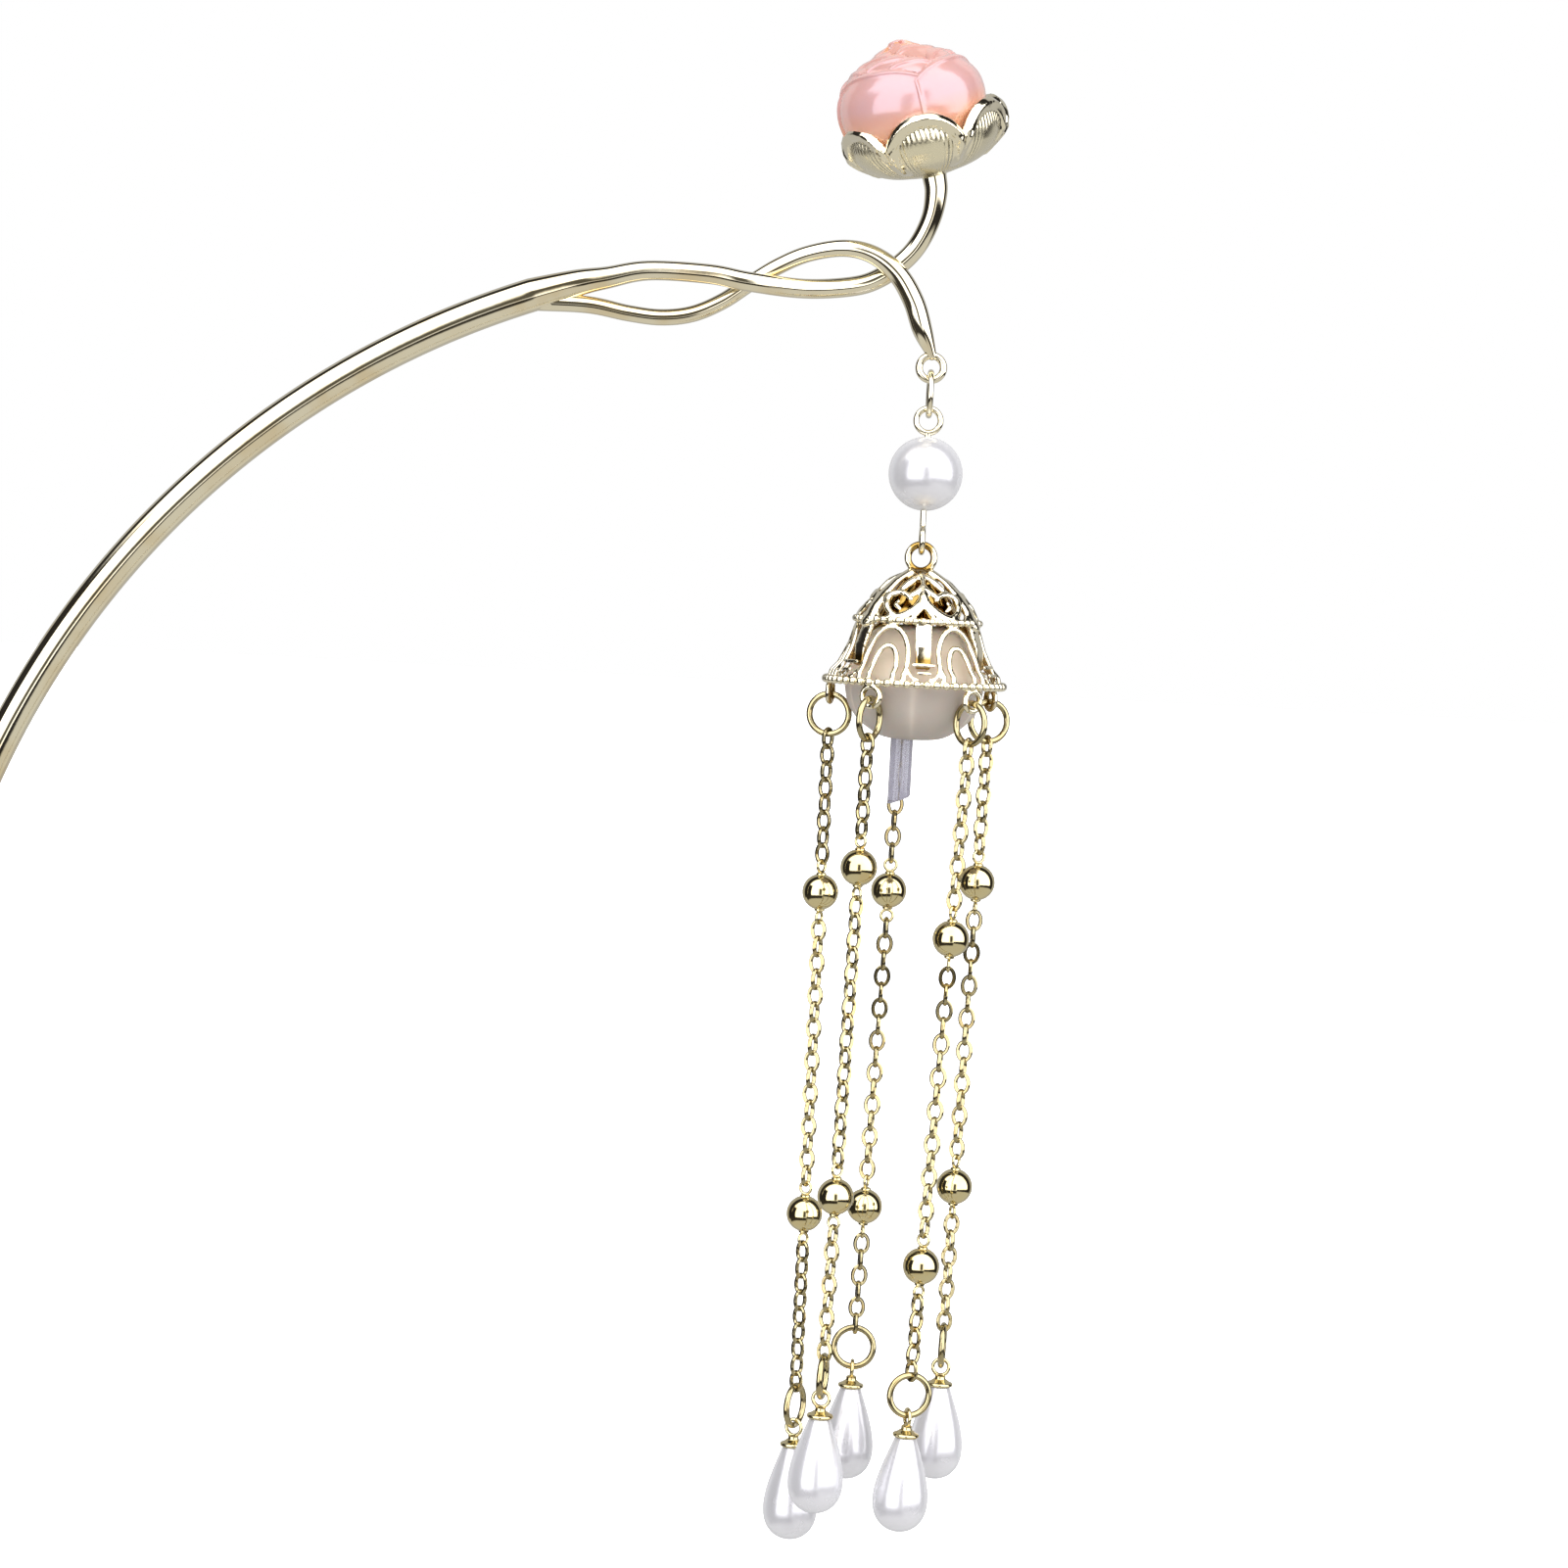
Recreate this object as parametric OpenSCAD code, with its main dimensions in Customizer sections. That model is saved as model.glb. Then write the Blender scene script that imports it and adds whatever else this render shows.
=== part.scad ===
// Hairpin with a twisted end, a carved bud in a calyx, and a drop that hangs from its hook:
// a pearl, a pierced cap round a frosted flower, and five chained strands.
// Millimetres, +Z up, seen from -Y. The origin is on the shaft's centre line, where the
// hair grips it.

/* [Shaft] */
// Radius of the shaft's curve, on its centre line
shaft_curve_r = 95.3; // [88:0.1:108]
// Thickness of the shaft
shaft_d = 3.6; // [3.2:0.1:4.2]
// Slope of the shaft where the hair grips it, in degrees
grip_slope = 54; // [50:1:58]
// Length along the curve from the grip to the split
grip_to_split = 58.2; // [52:0.1:64]
// Length along the curve from the grip to the tip
grip_to_tip = 62; // [50:1:76]
// Length of the tapered point
point_len = 24; // [16:1:32]
// Thickness of the blunt tip
tip_d = 1.8; // [1.4:0.1:2.4]

/* [Twist] */
// Distance along X from the split to the hook's eye
twist_len = 41.5; // [38:0.5:46]
// Height by which the two strands rise and fall
twist_h = 6; // [5.4:0.1:6.8]
// How far each strand stands from the middle plane at a crossing
twist_depth = 0.85; // [0.75:0.01:0.9]
// Thickness of the strand that carries the bud
stem_d = 2.1; // [2:0.05:2.4]
// Thickness of the strand that ends in the hook's eye
hook_d = 1.75; // [1.6:0.05:1.9]
// Depth of the hook's eye below the split
hook_drop = 6; // [5.6:0.1:7]
// Hole in the hook's eye
hook_hole_d = 1.8; // [1.7:0.05:2.2]
// Wire of the hook's eye
hook_wire_d = 0.8; // [0.6:0.05:1]

/* [Bud] */
// Widest radius of the bud
bud_r = 7.9; // [7.4:0.1:8.6]
// Height of the bud above its seat
bud_h = 15.4; // [14:0.1:17]
// Thickness of one carved petal
petal_t = 0.4; // [0.2:0.05:0.6]
// Lean of the bud to the left, in degrees
bud_tilt = 16; // [10:1:20]
// Nod of the bud towards the viewer, in degrees
bud_nod = 8; // [0:1:12]
// Post under the bud that passes through the calyx
post_d = 1.6; // [1.2:0.1:1.8]
// Height of the post above the seat
post_h = 4; // [3:0.5:6]

/* [Calyx] */
// Number of sepals
sepals = 6; // [5:1:8]
// Outer radius of the calyx, over the sepals' rims
calyx_r = 8.9; // [8.8:0.05:9.6]
// Height of a sepal's top above the seat
calyx_h = 6.7; // [6:0.1:7.2]
// Share of the height that is cut down between two sepals
sepal_notch = 0.42; // [0.2:0.01:0.5]
// Turn of the calyx about its axis, in degrees
calyx_turn = 5; // [0:1:20]

/* [Hook ring and pearl] */
// Diameter of the hook's ring, on its wire's centre line
hook_ring_d = 4.6; // [4.3:0.1:5.2]
// Wire of the hook's ring
hook_ring_wire_d = 0.65; // [0.5:0.05:0.7]
// Diameter of the pearl
pearl_d = 7.9; // [7:0.1:9]
// Wire through the pearl
pearl_wire_d = 0.65; // [0.5:0.05:0.7]
// Diameter of the wire's two eyes, on the wire's centre line
pearl_eye_d = 2.6; // [2.5:0.05:3]
// Straight wire between the pearl and its lower eye
pearl_neck = 1.5; // [0.8:0.1:2.5]

/* [Cap] */
// Diameter of the cap's top ring, on its wire's centre line
cap_ring_d = 2.8; // [2.7:0.05:3.2]
// Wire of the cap's top ring
cap_ring_wire_d = 0.8; // [0.6:0.05:0.85]
// Depth of the top ring in the crown
cap_ring_sink = 0.25; // [0.2:0.05:0.4]
// Height of the crown, from its top to the upper rim
crown_h = 5.2; // [4.8:0.1:6]
// Radius of the upper rim
crown_r = 6.4; // [6.2:0.1:7]
// Height of the skirt, from the upper rim to the lower rim
skirt_h = 6.6; // [6:0.1:7.4]
// Radius of the lower rim
cap_r = 9.25; // [9:0.05:10]
// Wall of the cap
cap_wall = 0.8; // [0.7:0.05:0.9]
// Thickness of the upper rim
upper_rim_d = 0.65; // [0.5:0.05:0.8]
// Thickness of the lower rim
lower_rim_d = 0.8; // [0.7:0.05:1]
// Number of bays round the skirt
bays = 6; // [5:1:7]
// Number of pierced panels round the crown
panels = 3; // [2:1:4]
// Turn of the cap about its axis, in degrees
cap_turn = 4.4; // [0:0.1:20]
// Width of an arch at its foot
arch_w = 5; // [4.4:0.1:5.4]
// Height of an arch
arch_h = 4.6; // [4:0.1:4.8]
// Width of the band that draws an arch
arch_band = 0.45; // [0.35:0.05:0.5]
// Width of the plate between two bays
plate_w = 1.8; // [1.4:0.1:2]
// How far plates and ribs stand out of the wall
relief = 0.35; // [0.2:0.05:0.5]

/* [Flower and rod] */
// Widest radius of the flower
flower_r = 7.4; // [7:0.1:7.5]
// Height of the flower
flower_h = 12.4; // [11.5:0.1:13]
// Wall of the flower
flower_wall = 0.8; // [0.7:0.1:1]
// Depth of the flower's top below the crown's top
flower_drop = 5.6; // [5.5:0.1:6.2]
// Diameter of the clear rod
rod_d = 2.4; // [2:0.1:3]
// Length of the clear rod
rod_len = 8.2; // [7:0.1:12]
// How far the rod's top stands inside the flower
rod_inside = 1.2; // [1:0.1:2]
// How far left of the cap's axis the pin and the rod hang
rod_shift = 1; // [0.6:0.1:1.4]
// Hidden pin that carries the flower and the rod
inner_pin_d = 0.6; // [0.5:0.05:0.8]
// Length of the pin inside the rod
pin_in_rod = 2.5; // [2:0.5:5]

/* [Strands] */
// Number of strands
strands = 5; // [3:1:5]
// Direction of the first strand, in degrees from the front towards the right
first_strand = -31; // [-40:1:-20]
// Radius at which the strands' ears stand
ear_ring_r = 9.15; // [9.05:0.05:9.4]
// Diameter of an ear, on its wire's centre line
ear_d = 2.1; // [2:0.05:2.4]
// Wire of an ear
ear_wire_d = 0.7; // [0.6:0.05:0.75]
// Depth of an ear in the lower rim
ear_sink = 0.3; // [0.2:0.05:0.4]
// Diameter of the rings at a strand's two ends, on the wire's centre line
ring_d = 4.2; // [3.8:0.1:4.6]
// Wire of those rings
ring_wire_d = 0.6; // [0.45:0.05:0.65]
// Length of a link, on its wire's centre line
link_len = 2.18; // [2:0.02:2.6]
// Width of a link, on its wire's centre line
link_w = 1.4; // [1.2:0.05:1.6]
// Wire of a link
link_wire_d = 0.3; // [0.25:0.01:0.32]
// Diameter of a ball
ball_d = 3.8; // [3.2:0.1:4.6]
// Diameter of the neck at both ends of a ball
ball_neck_d = 1.5; // [1.2:0.1:1.8]
// Height of a ball's neck above the ball
ball_neck_h = 0.25; // [0.15:0.05:0.4]
// Diameter of a ball's two eyes, on the wire's centre line
ball_eye_d = 1.3; // [1.2:0.05:1.5]

/* [Teardrops] */
// Width of a teardrop
drop_d = 5.9; // [5.2:0.1:6.6]
// Length of a teardrop
drop_len = 10.1; // [8.5:0.1:12]
// Width of the flange over a teardrop
flange_d = 2.85; // [2.5:0.05:3.4]
// Thickness of that flange
flange_t = 0.45; // [0.3:0.05:0.7]
// Height of the neck between the flange and its eye
drop_neck_h = 0.75; // [0.5:0.05:1.2]
// Diameter of that neck
drop_neck_d = 1.15; // [1:0.05:1.4]
// Diameter of the eye over a teardrop, on the wire's centre line
drop_eye_d = 1.75; // [1.6:0.05:2]
// Wire of that eye
drop_eye_wire_d = 0.35; // [0.3:0.05:0.45]
// Peg that goes into the teardrop
peg_d = 0.7; // [0.5:0.1:0.9]
// Length of that peg
peg_len = 2; // [1.5:0.5:3.5]

/* [Gaps] */
// Gap between two pieces that hang in or pass through each other
hang_gap = 0.1; // [0.08:0.01:0.15]
// Gap between two pieces that are seated on each other
seat_gap = 0.08; // [0.05:0.01:0.12]

/* [Hidden] */
$fn = 48;
// Sides of the shaft's long curve, of a swept strand and of a carved form
curve_fn = 256;
sweep_sides = 12;
carve_sides = 72;
// Sections that a swept strand gets between two rows of its table
steps_per_span = 3;
degrees_per_mm = 180 / PI / shaft_curve_r;
// Length of a strand inside the shaft, and its thickness there as a share of the shaft's
strand_root_len = 1.5;
strand_root_share = 0.97;
// Thickness of the hook's end where it meets its eye, as a share of the eye's wire
hook_end_share = 1.3;
// Share by which the calyx is narrower between two sepals, and how pointed a sepal is
sepal_pinch = 0.03;
sepal_power = 2.2;
// How many petals thick the bud is at its front, the share of its height by which a petal's
// edge droops at its sides, and the share of its width over which its sides fade
petal_layers = 3;
petal_droop = 0.12;
petal_fade = 0.15;
// Shares of the bud's height between which it is carved
carved_from = 0.3;
carved_to = 0.95;
// Height of the inner arch and its width, as a share of the outer one
inner_arch = 0.6;
// Depth of the arches' feet as a share of the skirt's height
arch_foot = 0.8;
// Stretch of the outer arch that a side gap follows, in degrees from the arch's foot
side_gap_from = 22;
side_gap_to = 80;
// How slim a teardrop's shoulder is, the angle at its cut top, and the step between sections
drop_slimness = 2.2;
drop_top_angle = 66;
drop_step = 6;

// One strand a row: its lean to the left, its links above, between and below the two balls,
// the direction of its lower ring's plane, the direction of the first link's plane in each
// of the three stretches, and the twist that each link of the middle stretch adds. Angles
// are in degrees, and directions are counted from X.
STRAND_LEAN = 0;
STRAND_LINKS = 1;
STRAND_RING_TURN = 2;
STRAND_LINK_TURNS = 3;
STRAND_TWIST = 4;
STRAND_ROWS = [
    [1.0, [6, 16, 8], 80, [-40, 38, 60], 0],
    [2.05, [10, 16, 5], 15, [60, 0, -52], -2],
    [1.1, [7, 15, 7], 85, [-60, 5, 20], -2.5],
    [1.3, [8, 16, 6], 0, [5, 95, 5], -1.5],
    [-0.2, [8, 16, 9], 65, [52, -28, -45], 0]
];

// The point's sections: shares of its length, and of the way that its thickness goes from
// shaft_d to tip_d
POINT_ROWS = [
    [-0.06, 0.06],
    [0.25, 0.2],
    [0.5, 0.5],
    [0.75, 0.85],
    [0.98, 1.2],
    [1, 1.6]
];

// The stem's centre line: shares of twist_len, twist_depth (positive is away from the viewer),
// twist_h and stem_d, from the split to the bud's seat
STEM_ROWS = [
    [0.08, 0, 0.17, 1.36],
    [0.157, -0.3, 0.29, 1.12],
    [0.263, -0.6, 0.45, 1],
    [0.42, -0.9, 0.44, 1],
    [0.523, -1, 0.34, 1],
    [0.663, 0, 0.28, 1],
    [0.785, 0.8, 0.37, 1],
    [0.853, 1, 0.54, 1],
    [0.913, 1, 0.86, 1],
    [0.952, 0.8, 1.2, 1],
    [0.98, 0.4, 1.66, 0.96],
    [0.988, 0.1, 2.1, 0.94],
    [0.981, 0, 2.4, 0.92]
];

// The hook strand's centre line: the same shares, with hook_d
HOOK_ROWS = [
    [-0.04, 0, -0.2, 1.1],
    [0.11, 0.3, -0.2, 1.05],
    [0.215, 0.6, -0.31, 1],
    [0.3, 0.8, -0.35, 1],
    [0.38, 0.9, -0.26, 1],
    [0.455, 1, -0.01, 1],
    [0.525, 1, 0.34, 1],
    [0.595, 0.6, 0.66, 1],
    [0.67, 0, 0.9, 1],
    [0.76, -0.8, 1.02, 1],
    [0.835, -1, 0.93, 1],
    [0.9, -1, 0.62, 1],
    [0.945, -0.8, 0.15, 0.96],
    [0.972, -0.5, -0.35, 0.9]
];

// The bud's section: shares of bud_r and bud_h, from the edge of the post's bore to the top
BUD_ROWS = [
    [0.3, 0.07],
    [0.55, 0.1],
    [0.76, 0.165],
    [0.89, 0.25],
    [0.95, 0.34],
    [0.985, 0.43],
    [1, 0.5],
    [0.99, 0.57],
    [0.96, 0.63],
    [0.905, 0.685],
    [0.84, 0.73],
    [0.77, 0.77],
    [0.7, 0.805],
    [0.62, 0.84],
    [0.53, 0.875],
    [0.43, 0.91],
    [0.32, 0.945],
    [0.22, 0.97],
    [0.13, 0.99]
];

// One carved petal a row: its direction and half width in degrees, the height of its edge at
// its middle as a share of bud_h, and how many petals thick the bud is there
PETAL_ROWS = [
    [-44, 48, 0.735, 3],
    [46, 46, 0.715, 3],
    [132, 46, 0.73, 3],
    [222, 48, 0.72, 3],
    [-24, 40, 0.835, 2],
    [58, 42, 0.82, 2],
    [146, 48, 0.84, 2],
    [238, 46, 0.825, 2],
    [20, 56, 0.925, 1],
    [140, 56, 0.92, 1],
    [262, 58, 0.93, 1]
];

// The calyx's closed section: shares of calyx_r and calyx_h, and how much a point follows
// the sepals, from the bore's lower edge outwards, over the rim and back down inside
CALYX_ROWS = [
    [0.26, 0, 0],
    [0.48, 0.07, 0],
    [0.68, 0.19, 0.1],
    [0.86, 0.38, 0.3],
    [0.955, 0.56, 0.55],
    [0.985, 0.74, 0.8],
    [1, 0.9, 1],
    [0.975, 0.98, 1],
    [0.94, 1, 1],
    [0.918, 0.96, 1],
    [0.912, 0.86, 1],
    [0.905, 0.72, 0.8],
    [0.875, 0.56, 0.55],
    [0.79, 0.4, 0.3],
    [0.6, 0.23, 0.1],
    [0.4, 0.15, 0]
];

// The cap's outline: shares of crown_r and crown_h on the crown
CROWN_ROWS = [
    [0.2, 0],
    [0.46, 0.2],
    [0.69, 0.46],
    [0.86, 0.72],
    [0.97, 0.97]
];

// On the skirt: shares of the way from crown_r to cap_r, and of skirt_h
SKIRT_ROWS = [
    [-0.07, 0.06],
    [0.3, 0.46],
    [0.62, 0.74],
    [0.9, 0.86],
    [0.97, 1]
];

// One gap a row in half a crown panel: its distance from the panel's middle as a share of
// crown_r, and its depth and radius as shares of crown_h
CROWN_GAP_ROWS = [
    [0.15, 0.34, 0.075],
    [0.36, 0.49, 0.075],
    [0.17, 0.56, 0.06],
    [0.38, 0.7, 0.14],
    [0.16, 0.86, 0.06],
    [0.58, 0.88, 0.06]
];

// A side gap's two outer corners: shares of the half width between two plates at the upper
// rim, and of the height from the arches' feet to that rim
SIDE_GAP_ROWS = [
    [0.98, 0.93],
    [1.13, 0.55]
];

// The flower's section: shares of flower_r and flower_h, from its top to its foot
FLOWER_ROWS = [
    [0.42, 0.01],
    [0.63, 0.07],
    [0.8, 0.21],
    [0.93, 0.38],
    [1, 0.54],
    [0.95, 0.7],
    [0.82, 0.82],
    [0.64, 0.91],
    [0.4, 0.98]
];

function numbered(name) = [for (i = [1 : strands]) str(name, "_", i)];

// Places on the pin
split_angle = 90 + grip_slope - grip_to_split * degrees_per_mm;
point_angle = 90 + grip_slope + (grip_to_tip - point_len) * degrees_per_mm;
tip_angle = 90 + grip_slope + grip_to_tip * degrees_per_mm;
curve_centre = -shaft_curve_r * [cos(90 + grip_slope), 0, sin(90 + grip_slope)];
split = on_curve(split_angle);
bud_seat = strand_point(STEM_ROWS[len(STEM_ROWS) - 1], stem_d);
hook_eye_r = (hook_hole_d + hook_wire_d) / 2;
hook_eye = split + [twist_len, 0, -hook_drop];

// Heights over the bud's seat: the floor inside the calyx and the bud's foot on it
calyx_floor_z = CALYX_ROWS[len(CALYX_ROWS) - 1][1] * calyx_h + seat_gap;
bud_foot_z = calyx_floor_z + seat_gap;

// Heights of what hangs under the hook's eye, each from the piece above it
hook_ring_r = hook_ring_d / 2;
hook_ring_z = hung(hook_eye[2] - hook_eye_r, hook_wire_d, hook_ring_wire_d) - hook_ring_r;
pearl_eye_r = pearl_eye_d / 2;
upper_eye_z = hung(hook_ring_z - hook_ring_r, hook_ring_wire_d, pearl_wire_d) - pearl_eye_r;
pearl_z = upper_eye_z - pearl_eye_r - pearl_wire_d / 2 - seat_gap - pearl_d / 2;
lower_eye_z = pearl_z - pearl_d / 2 - pearl_neck - pearl_wire_d / 2 - pearl_eye_r;
cap_ring_z = hung(lower_eye_z - pearl_eye_r, pearl_wire_d, cap_ring_wire_d) - cap_ring_d / 2;
cap_top_z = cap_ring_z - cap_ring_d / 2 - cap_ring_wire_d / 2 + cap_ring_sink;
upper_rim_z = cap_top_z - crown_h;
lower_rim_z = upper_rim_z - skirt_h;
ear_z = lower_rim_z - lower_rim_d / 2 + ear_sink - ear_wire_d / 2 - ear_d / 2;
flower_top_z = cap_top_z - flower_drop;
rod_top_z = flower_top_z - flower_h + rod_inside;

// Depths down a strand, from its ear's centre
top_ring_z = hung(-ear_d / 2, ear_wire_d, ring_wire_d) - ring_d / 2;
link_pitch = link_len - link_wire_d - hang_gap;
ball_eye_z = ball_d / 2 + ball_neck_h + ball_eye_d / 2;
drop_eye_rise = drop_eye_d / 2 + drop_neck_h;

function on_curve(angle) = curve_centre + shaft_curve_r * [cos(angle), 0, sin(angle)];
function with_d(point, d) = [point[0], point[1], point[2], d];
function strand_point(row, d) =
    split + [row[0] * twist_len, row[1] * twist_depth, row[2] * twist_h];
function strand_path(rows, d) = [for (row = rows) with_d(strand_point(row, d), row[3] * d)];

// Height of the wire's centre at the top of a piece that hangs on a wire whose centre is at z
function hung(z, wire_above_d, wire_d) = z + wire_above_d / 2 + wire_d / 2 + hang_gap;

// A smooth curve through points, each with its thickness as a fourth number
function blend(a, b, c, d, t) =
    (2 * b + (c - a) * t + (2 * a - 5 * b + 4 * c - d) * t * t
        + (3 * b - a - 3 * c + d) * t * t * t) / 2;
function smooth_path(p) = [
    for (i = [0 : len(p) - 2])
        for (s = [0 : steps_per_span - 1])
            blend(p[max(i - 1, 0)], p[i], p[i + 1], p[min(i + 2, len(p) - 1)],
                s / steps_per_span),
    p[len(p) - 1]
];

function unit(v) = v / norm(v);
function place(p) = [p[0], p[1], p[2]];
function heading(p, i) = unit(place(p[min(i + 1, len(p) - 1)]) - place(p[max(i - 1, 0)]));
function ring_about(point, along) =
    let (side = unit(cross(along, [0, 1, 0])), back = cross(side, along))
    [for (k = [0 : sweep_sides - 1])
        let (a = 360 * k / sweep_sides)
        place(point) + point[3] / 2 * (cos(a) * side + sin(a) * back)];

// A closed skin over rings of points. A looped one joins its last ring to its first, and
// any other is closed with two flat ends.
module skin(rings, looped = false) {
    count = len(rings);
    sides = len(rings[0]);
    last = looped ? count - 1 : count - 2;
    walls = [
        for (i = [0 : last])
            for (k = [0 : sides - 1])
                let (
                    here = i * sides,
                    next = ((i + 1) % count) * sides,
                    turn = (k + 1) % sides
                )
                for (face = [
                    [here + k, here + turn, next + turn],
                    [here + k, next + turn, next + k]
                ]) face
    ];
    ends = looped ? [] : [
        [for (k = [sides - 1 : -1 : 0]) k],
        [for (k = [0 : sides - 1]) (count - 1) * sides + k]
    ];
    polyhedron([for (ring = rings) for (point = ring) point], concat(walls, ends));
}

module sweep(path) {
    p = smooth_path(path);
    skin([for (i = [0 : len(p) - 1]) ring_about(p[i], heading(p, i))]);
}

// A ring of round wire in the plane of X and Z, on its wire's centre line
module wire_ring(d, wire_d) {
    rotate([90, 0, 0])
        rotate_extrude()
            translate([d / 2, 0])
                circle(d = wire_d);
}

module on_bud_seat() {
    translate(bud_seat)
        rotate([bud_nod, -bud_tilt, 0])
            children();
}

module hanging() {
    translate([hook_eye[0], hook_eye[1], 0])
        children();
}

// Pin

module shaft() {
    translate(curve_centre)
        rotate([90, 0, 0])
            rotate([0, 0, split_angle])
                rotate_extrude(angle = point_angle - split_angle, $fn = curve_fn)
                    translate([shaft_curve_r, 0])
                        circle(d = shaft_d);
}

module point() {
    sweep([
        for (row = POINT_ROWS)
            with_d(on_curve(point_angle + row[0] * (tip_angle - point_angle)),
                shaft_d + row[1] * (tip_d - shaft_d))
    ]);
}

module stem() {
    root = on_curve(split_angle + strand_root_len * degrees_per_mm);
    sweep(concat(
        [with_d(root, shaft_d * strand_root_share)],
        strand_path(STEM_ROWS, stem_d)
    ));
}

module hook() {
    sweep(concat(
        strand_path(HOOK_ROWS, hook_d),
        [with_d(hook_eye + [0, 0, hook_eye_r], hook_wire_d * hook_end_share)]
    ));
    translate(hook_eye)
        wire_ring(2 * hook_eye_r, hook_wire_d);
}

module pin() {
    color("wheat") {
        shaft();
        point();
        stem();
        hook();
        on_bud_seat()
            translate([0, 0, -post_d / 2])
                cylinder(d = post_d, h = post_h + post_d / 2);
    }
}

// Calyx and bud

function wrap(angle) = angle - 360 * round(angle / 360);
function sepal_share(angle) =
    let (width = 360 / sepals, off = wrap((angle - calyx_turn) * sepals) / sepals)
    1 - pow(abs(off) / (width / 2), sepal_power);
function calyx_point(row, angle) =
    let (
        share = sepal_share(angle),
        r = row[0] * calyx_r * (1 - sepal_pinch * row[2] * (1 - share)),
        z = row[1] * calyx_h * (1 - sepal_notch * row[2] * (1 - share))
    )
    [r * sin(angle), -r * cos(angle), z + seat_gap];
function bore_point(angle, z) =
    (post_d / 2 + hang_gap) * [sin(angle), -cos(angle), 0] + [0, 0, z];

module calyx() {
    angles = [for (k = [0 : carve_sides - 1]) 360 * k / carve_sides];
    color("palegoldenrod")
        on_bud_seat()
            skin(concat(
                [[for (a = angles) bore_point(a, seat_gap)]],
                [for (row = CALYX_ROWS) [for (a = angles) calyx_point(row, a)]],
                [[for (a = angles) bore_point(a, calyx_floor_z)]]
            ), looped = true);
}

function ramp(x) = x <= 0 ? 0 : x >= 1 ? 1 : x * x * (3 - 2 * x);
function petal_cover(petal, angle, z) =
    let (
        off = abs(wrap(angle - petal[0])) / petal[1],
        edge = petal[2] * bud_h * (1 - petal_droop * pow(off, 3)),
        side = ramp((1 + petal_fade - off) / petal_fade)
    )
    side * ramp((edge - z) / petal_t) * petal[3];
function bud_point(row, angle) =
    let (
        z = max(row[1] * bud_h, bud_foot_z),
        layers = max([for (petal = PETAL_ROWS) petal_cover(petal, angle, z)]),
        carved = row[1] > carved_to || row[1] < carved_from ? 0 : petal_layers - layers,
        r = row[0] * bud_r - carved * petal_t / 2
    )
    [r * sin(angle), -r * cos(angle), z];

module bud() {
    angles = [for (k = [0 : carve_sides - 1]) 360 * k / carve_sides];
    color("lightpink")
        on_bud_seat()
            skin(concat(
                [[for (a = angles) bore_point(a, post_h + hang_gap)]],
                [[for (a = angles) bore_point(a, bud_foot_z)]],
                [for (row = BUD_ROWS) [for (a = angles) bud_point(row, a)]]
            ));
}

// Hook ring and pearl

module hook_ring() {
    color("gold")
        hanging()
            translate([0, 0, hook_ring_z])
                rotate([0, 0, 90])
                    wire_ring(hook_ring_d, hook_ring_wire_d);
}

module pearl() {
    color("white")
        hanging()
            translate([0, 0, pearl_z])
                difference() {
                    sphere(d = pearl_d);
                    cylinder(d = pearl_wire_d + 2 * hang_gap, h = 2 * pearl_d, center = true);
                }
}

module pearl_wire() {
    wire_top = upper_eye_z - pearl_eye_r;
    wire_foot = lower_eye_z + pearl_eye_r;
    color("gold")
        hanging() {
            translate([0, 0, upper_eye_z])
                wire_ring(pearl_eye_d, pearl_wire_d);
            translate([0, 0, wire_foot])
                cylinder(d = pearl_wire_d, h = wire_top - wire_foot);
            translate([0, 0, lower_eye_z])
                rotate([0, 0, 90])
                    wire_ring(pearl_eye_d, pearl_wire_d);
        }
}

// Cap, with heights measured from its top

function crown_outline(out) = [
    for (row = CROWN_ROWS) [row[0] * crown_r + out, -row[1] * crown_h]
];
function skirt_outline(out) = [
    for (row = SKIRT_ROWS)
        [crown_r + row[0] * (cap_r - crown_r) + out, -crown_h - row[1] * skirt_h]
];
function reversed(list) = [for (i = [len(list) - 1 : -1 : 0]) list[i]];

module cap_shell() {
    crown_inside = [for (p = crown_outline(-cap_wall)) if (p[1] < -cap_wall) p];
    rotate_extrude()
        polygon(concat(
            [[0, 0]],
            crown_outline(0),
            skirt_outline(0),
            reversed(skirt_outline(-cap_wall)),
            reversed(crown_inside),
            [[0, -cap_wall]]
        ));
}

module rim(r, z, d) {
    translate([0, 0, z])
        rotate_extrude()
            translate([r, 0])
                circle(d = d);
}

module crown_ribs() {
    intersection() {
        rotate_extrude()
            polygon(concat(crown_outline(relief), reversed(crown_outline(-cap_wall / 2))));
        for (i = [0 : panels - 1])
            rotate([0, 0, cap_turn + (i + 0.5) * 360 / panels])
                translate([-plate_w / 2, -cap_r, -crown_h])
                    cube([plate_w, cap_r, crown_h]);
    }
}

// Cut from just outside the inner pin outwards
module crown_gaps() {
    for (i = [0 : panels - 1])
        rotate([0, 0, cap_turn + i * 360 / panels])
            translate([0, -inner_pin_d - rod_shift, -crown_h])
                rotate([90, 0, 0])
                    linear_extrude(cap_r)
                        for (side = [-1, 1])
                            for (gap = CROWN_GAP_ROWS)
                                translate([side * gap[0] * crown_r, (1 - gap[1]) * crown_h])
                                    circle(r = gap[2] * crown_h, $fn = 10);
}

function arch(w, h, from = 0, to = 180, count = 9) = [
    for (i = [0 : count])
        let (t = from + (to - from) * i / count)
        [w / 2 * cos(t), h * sin(t)]
];

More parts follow.
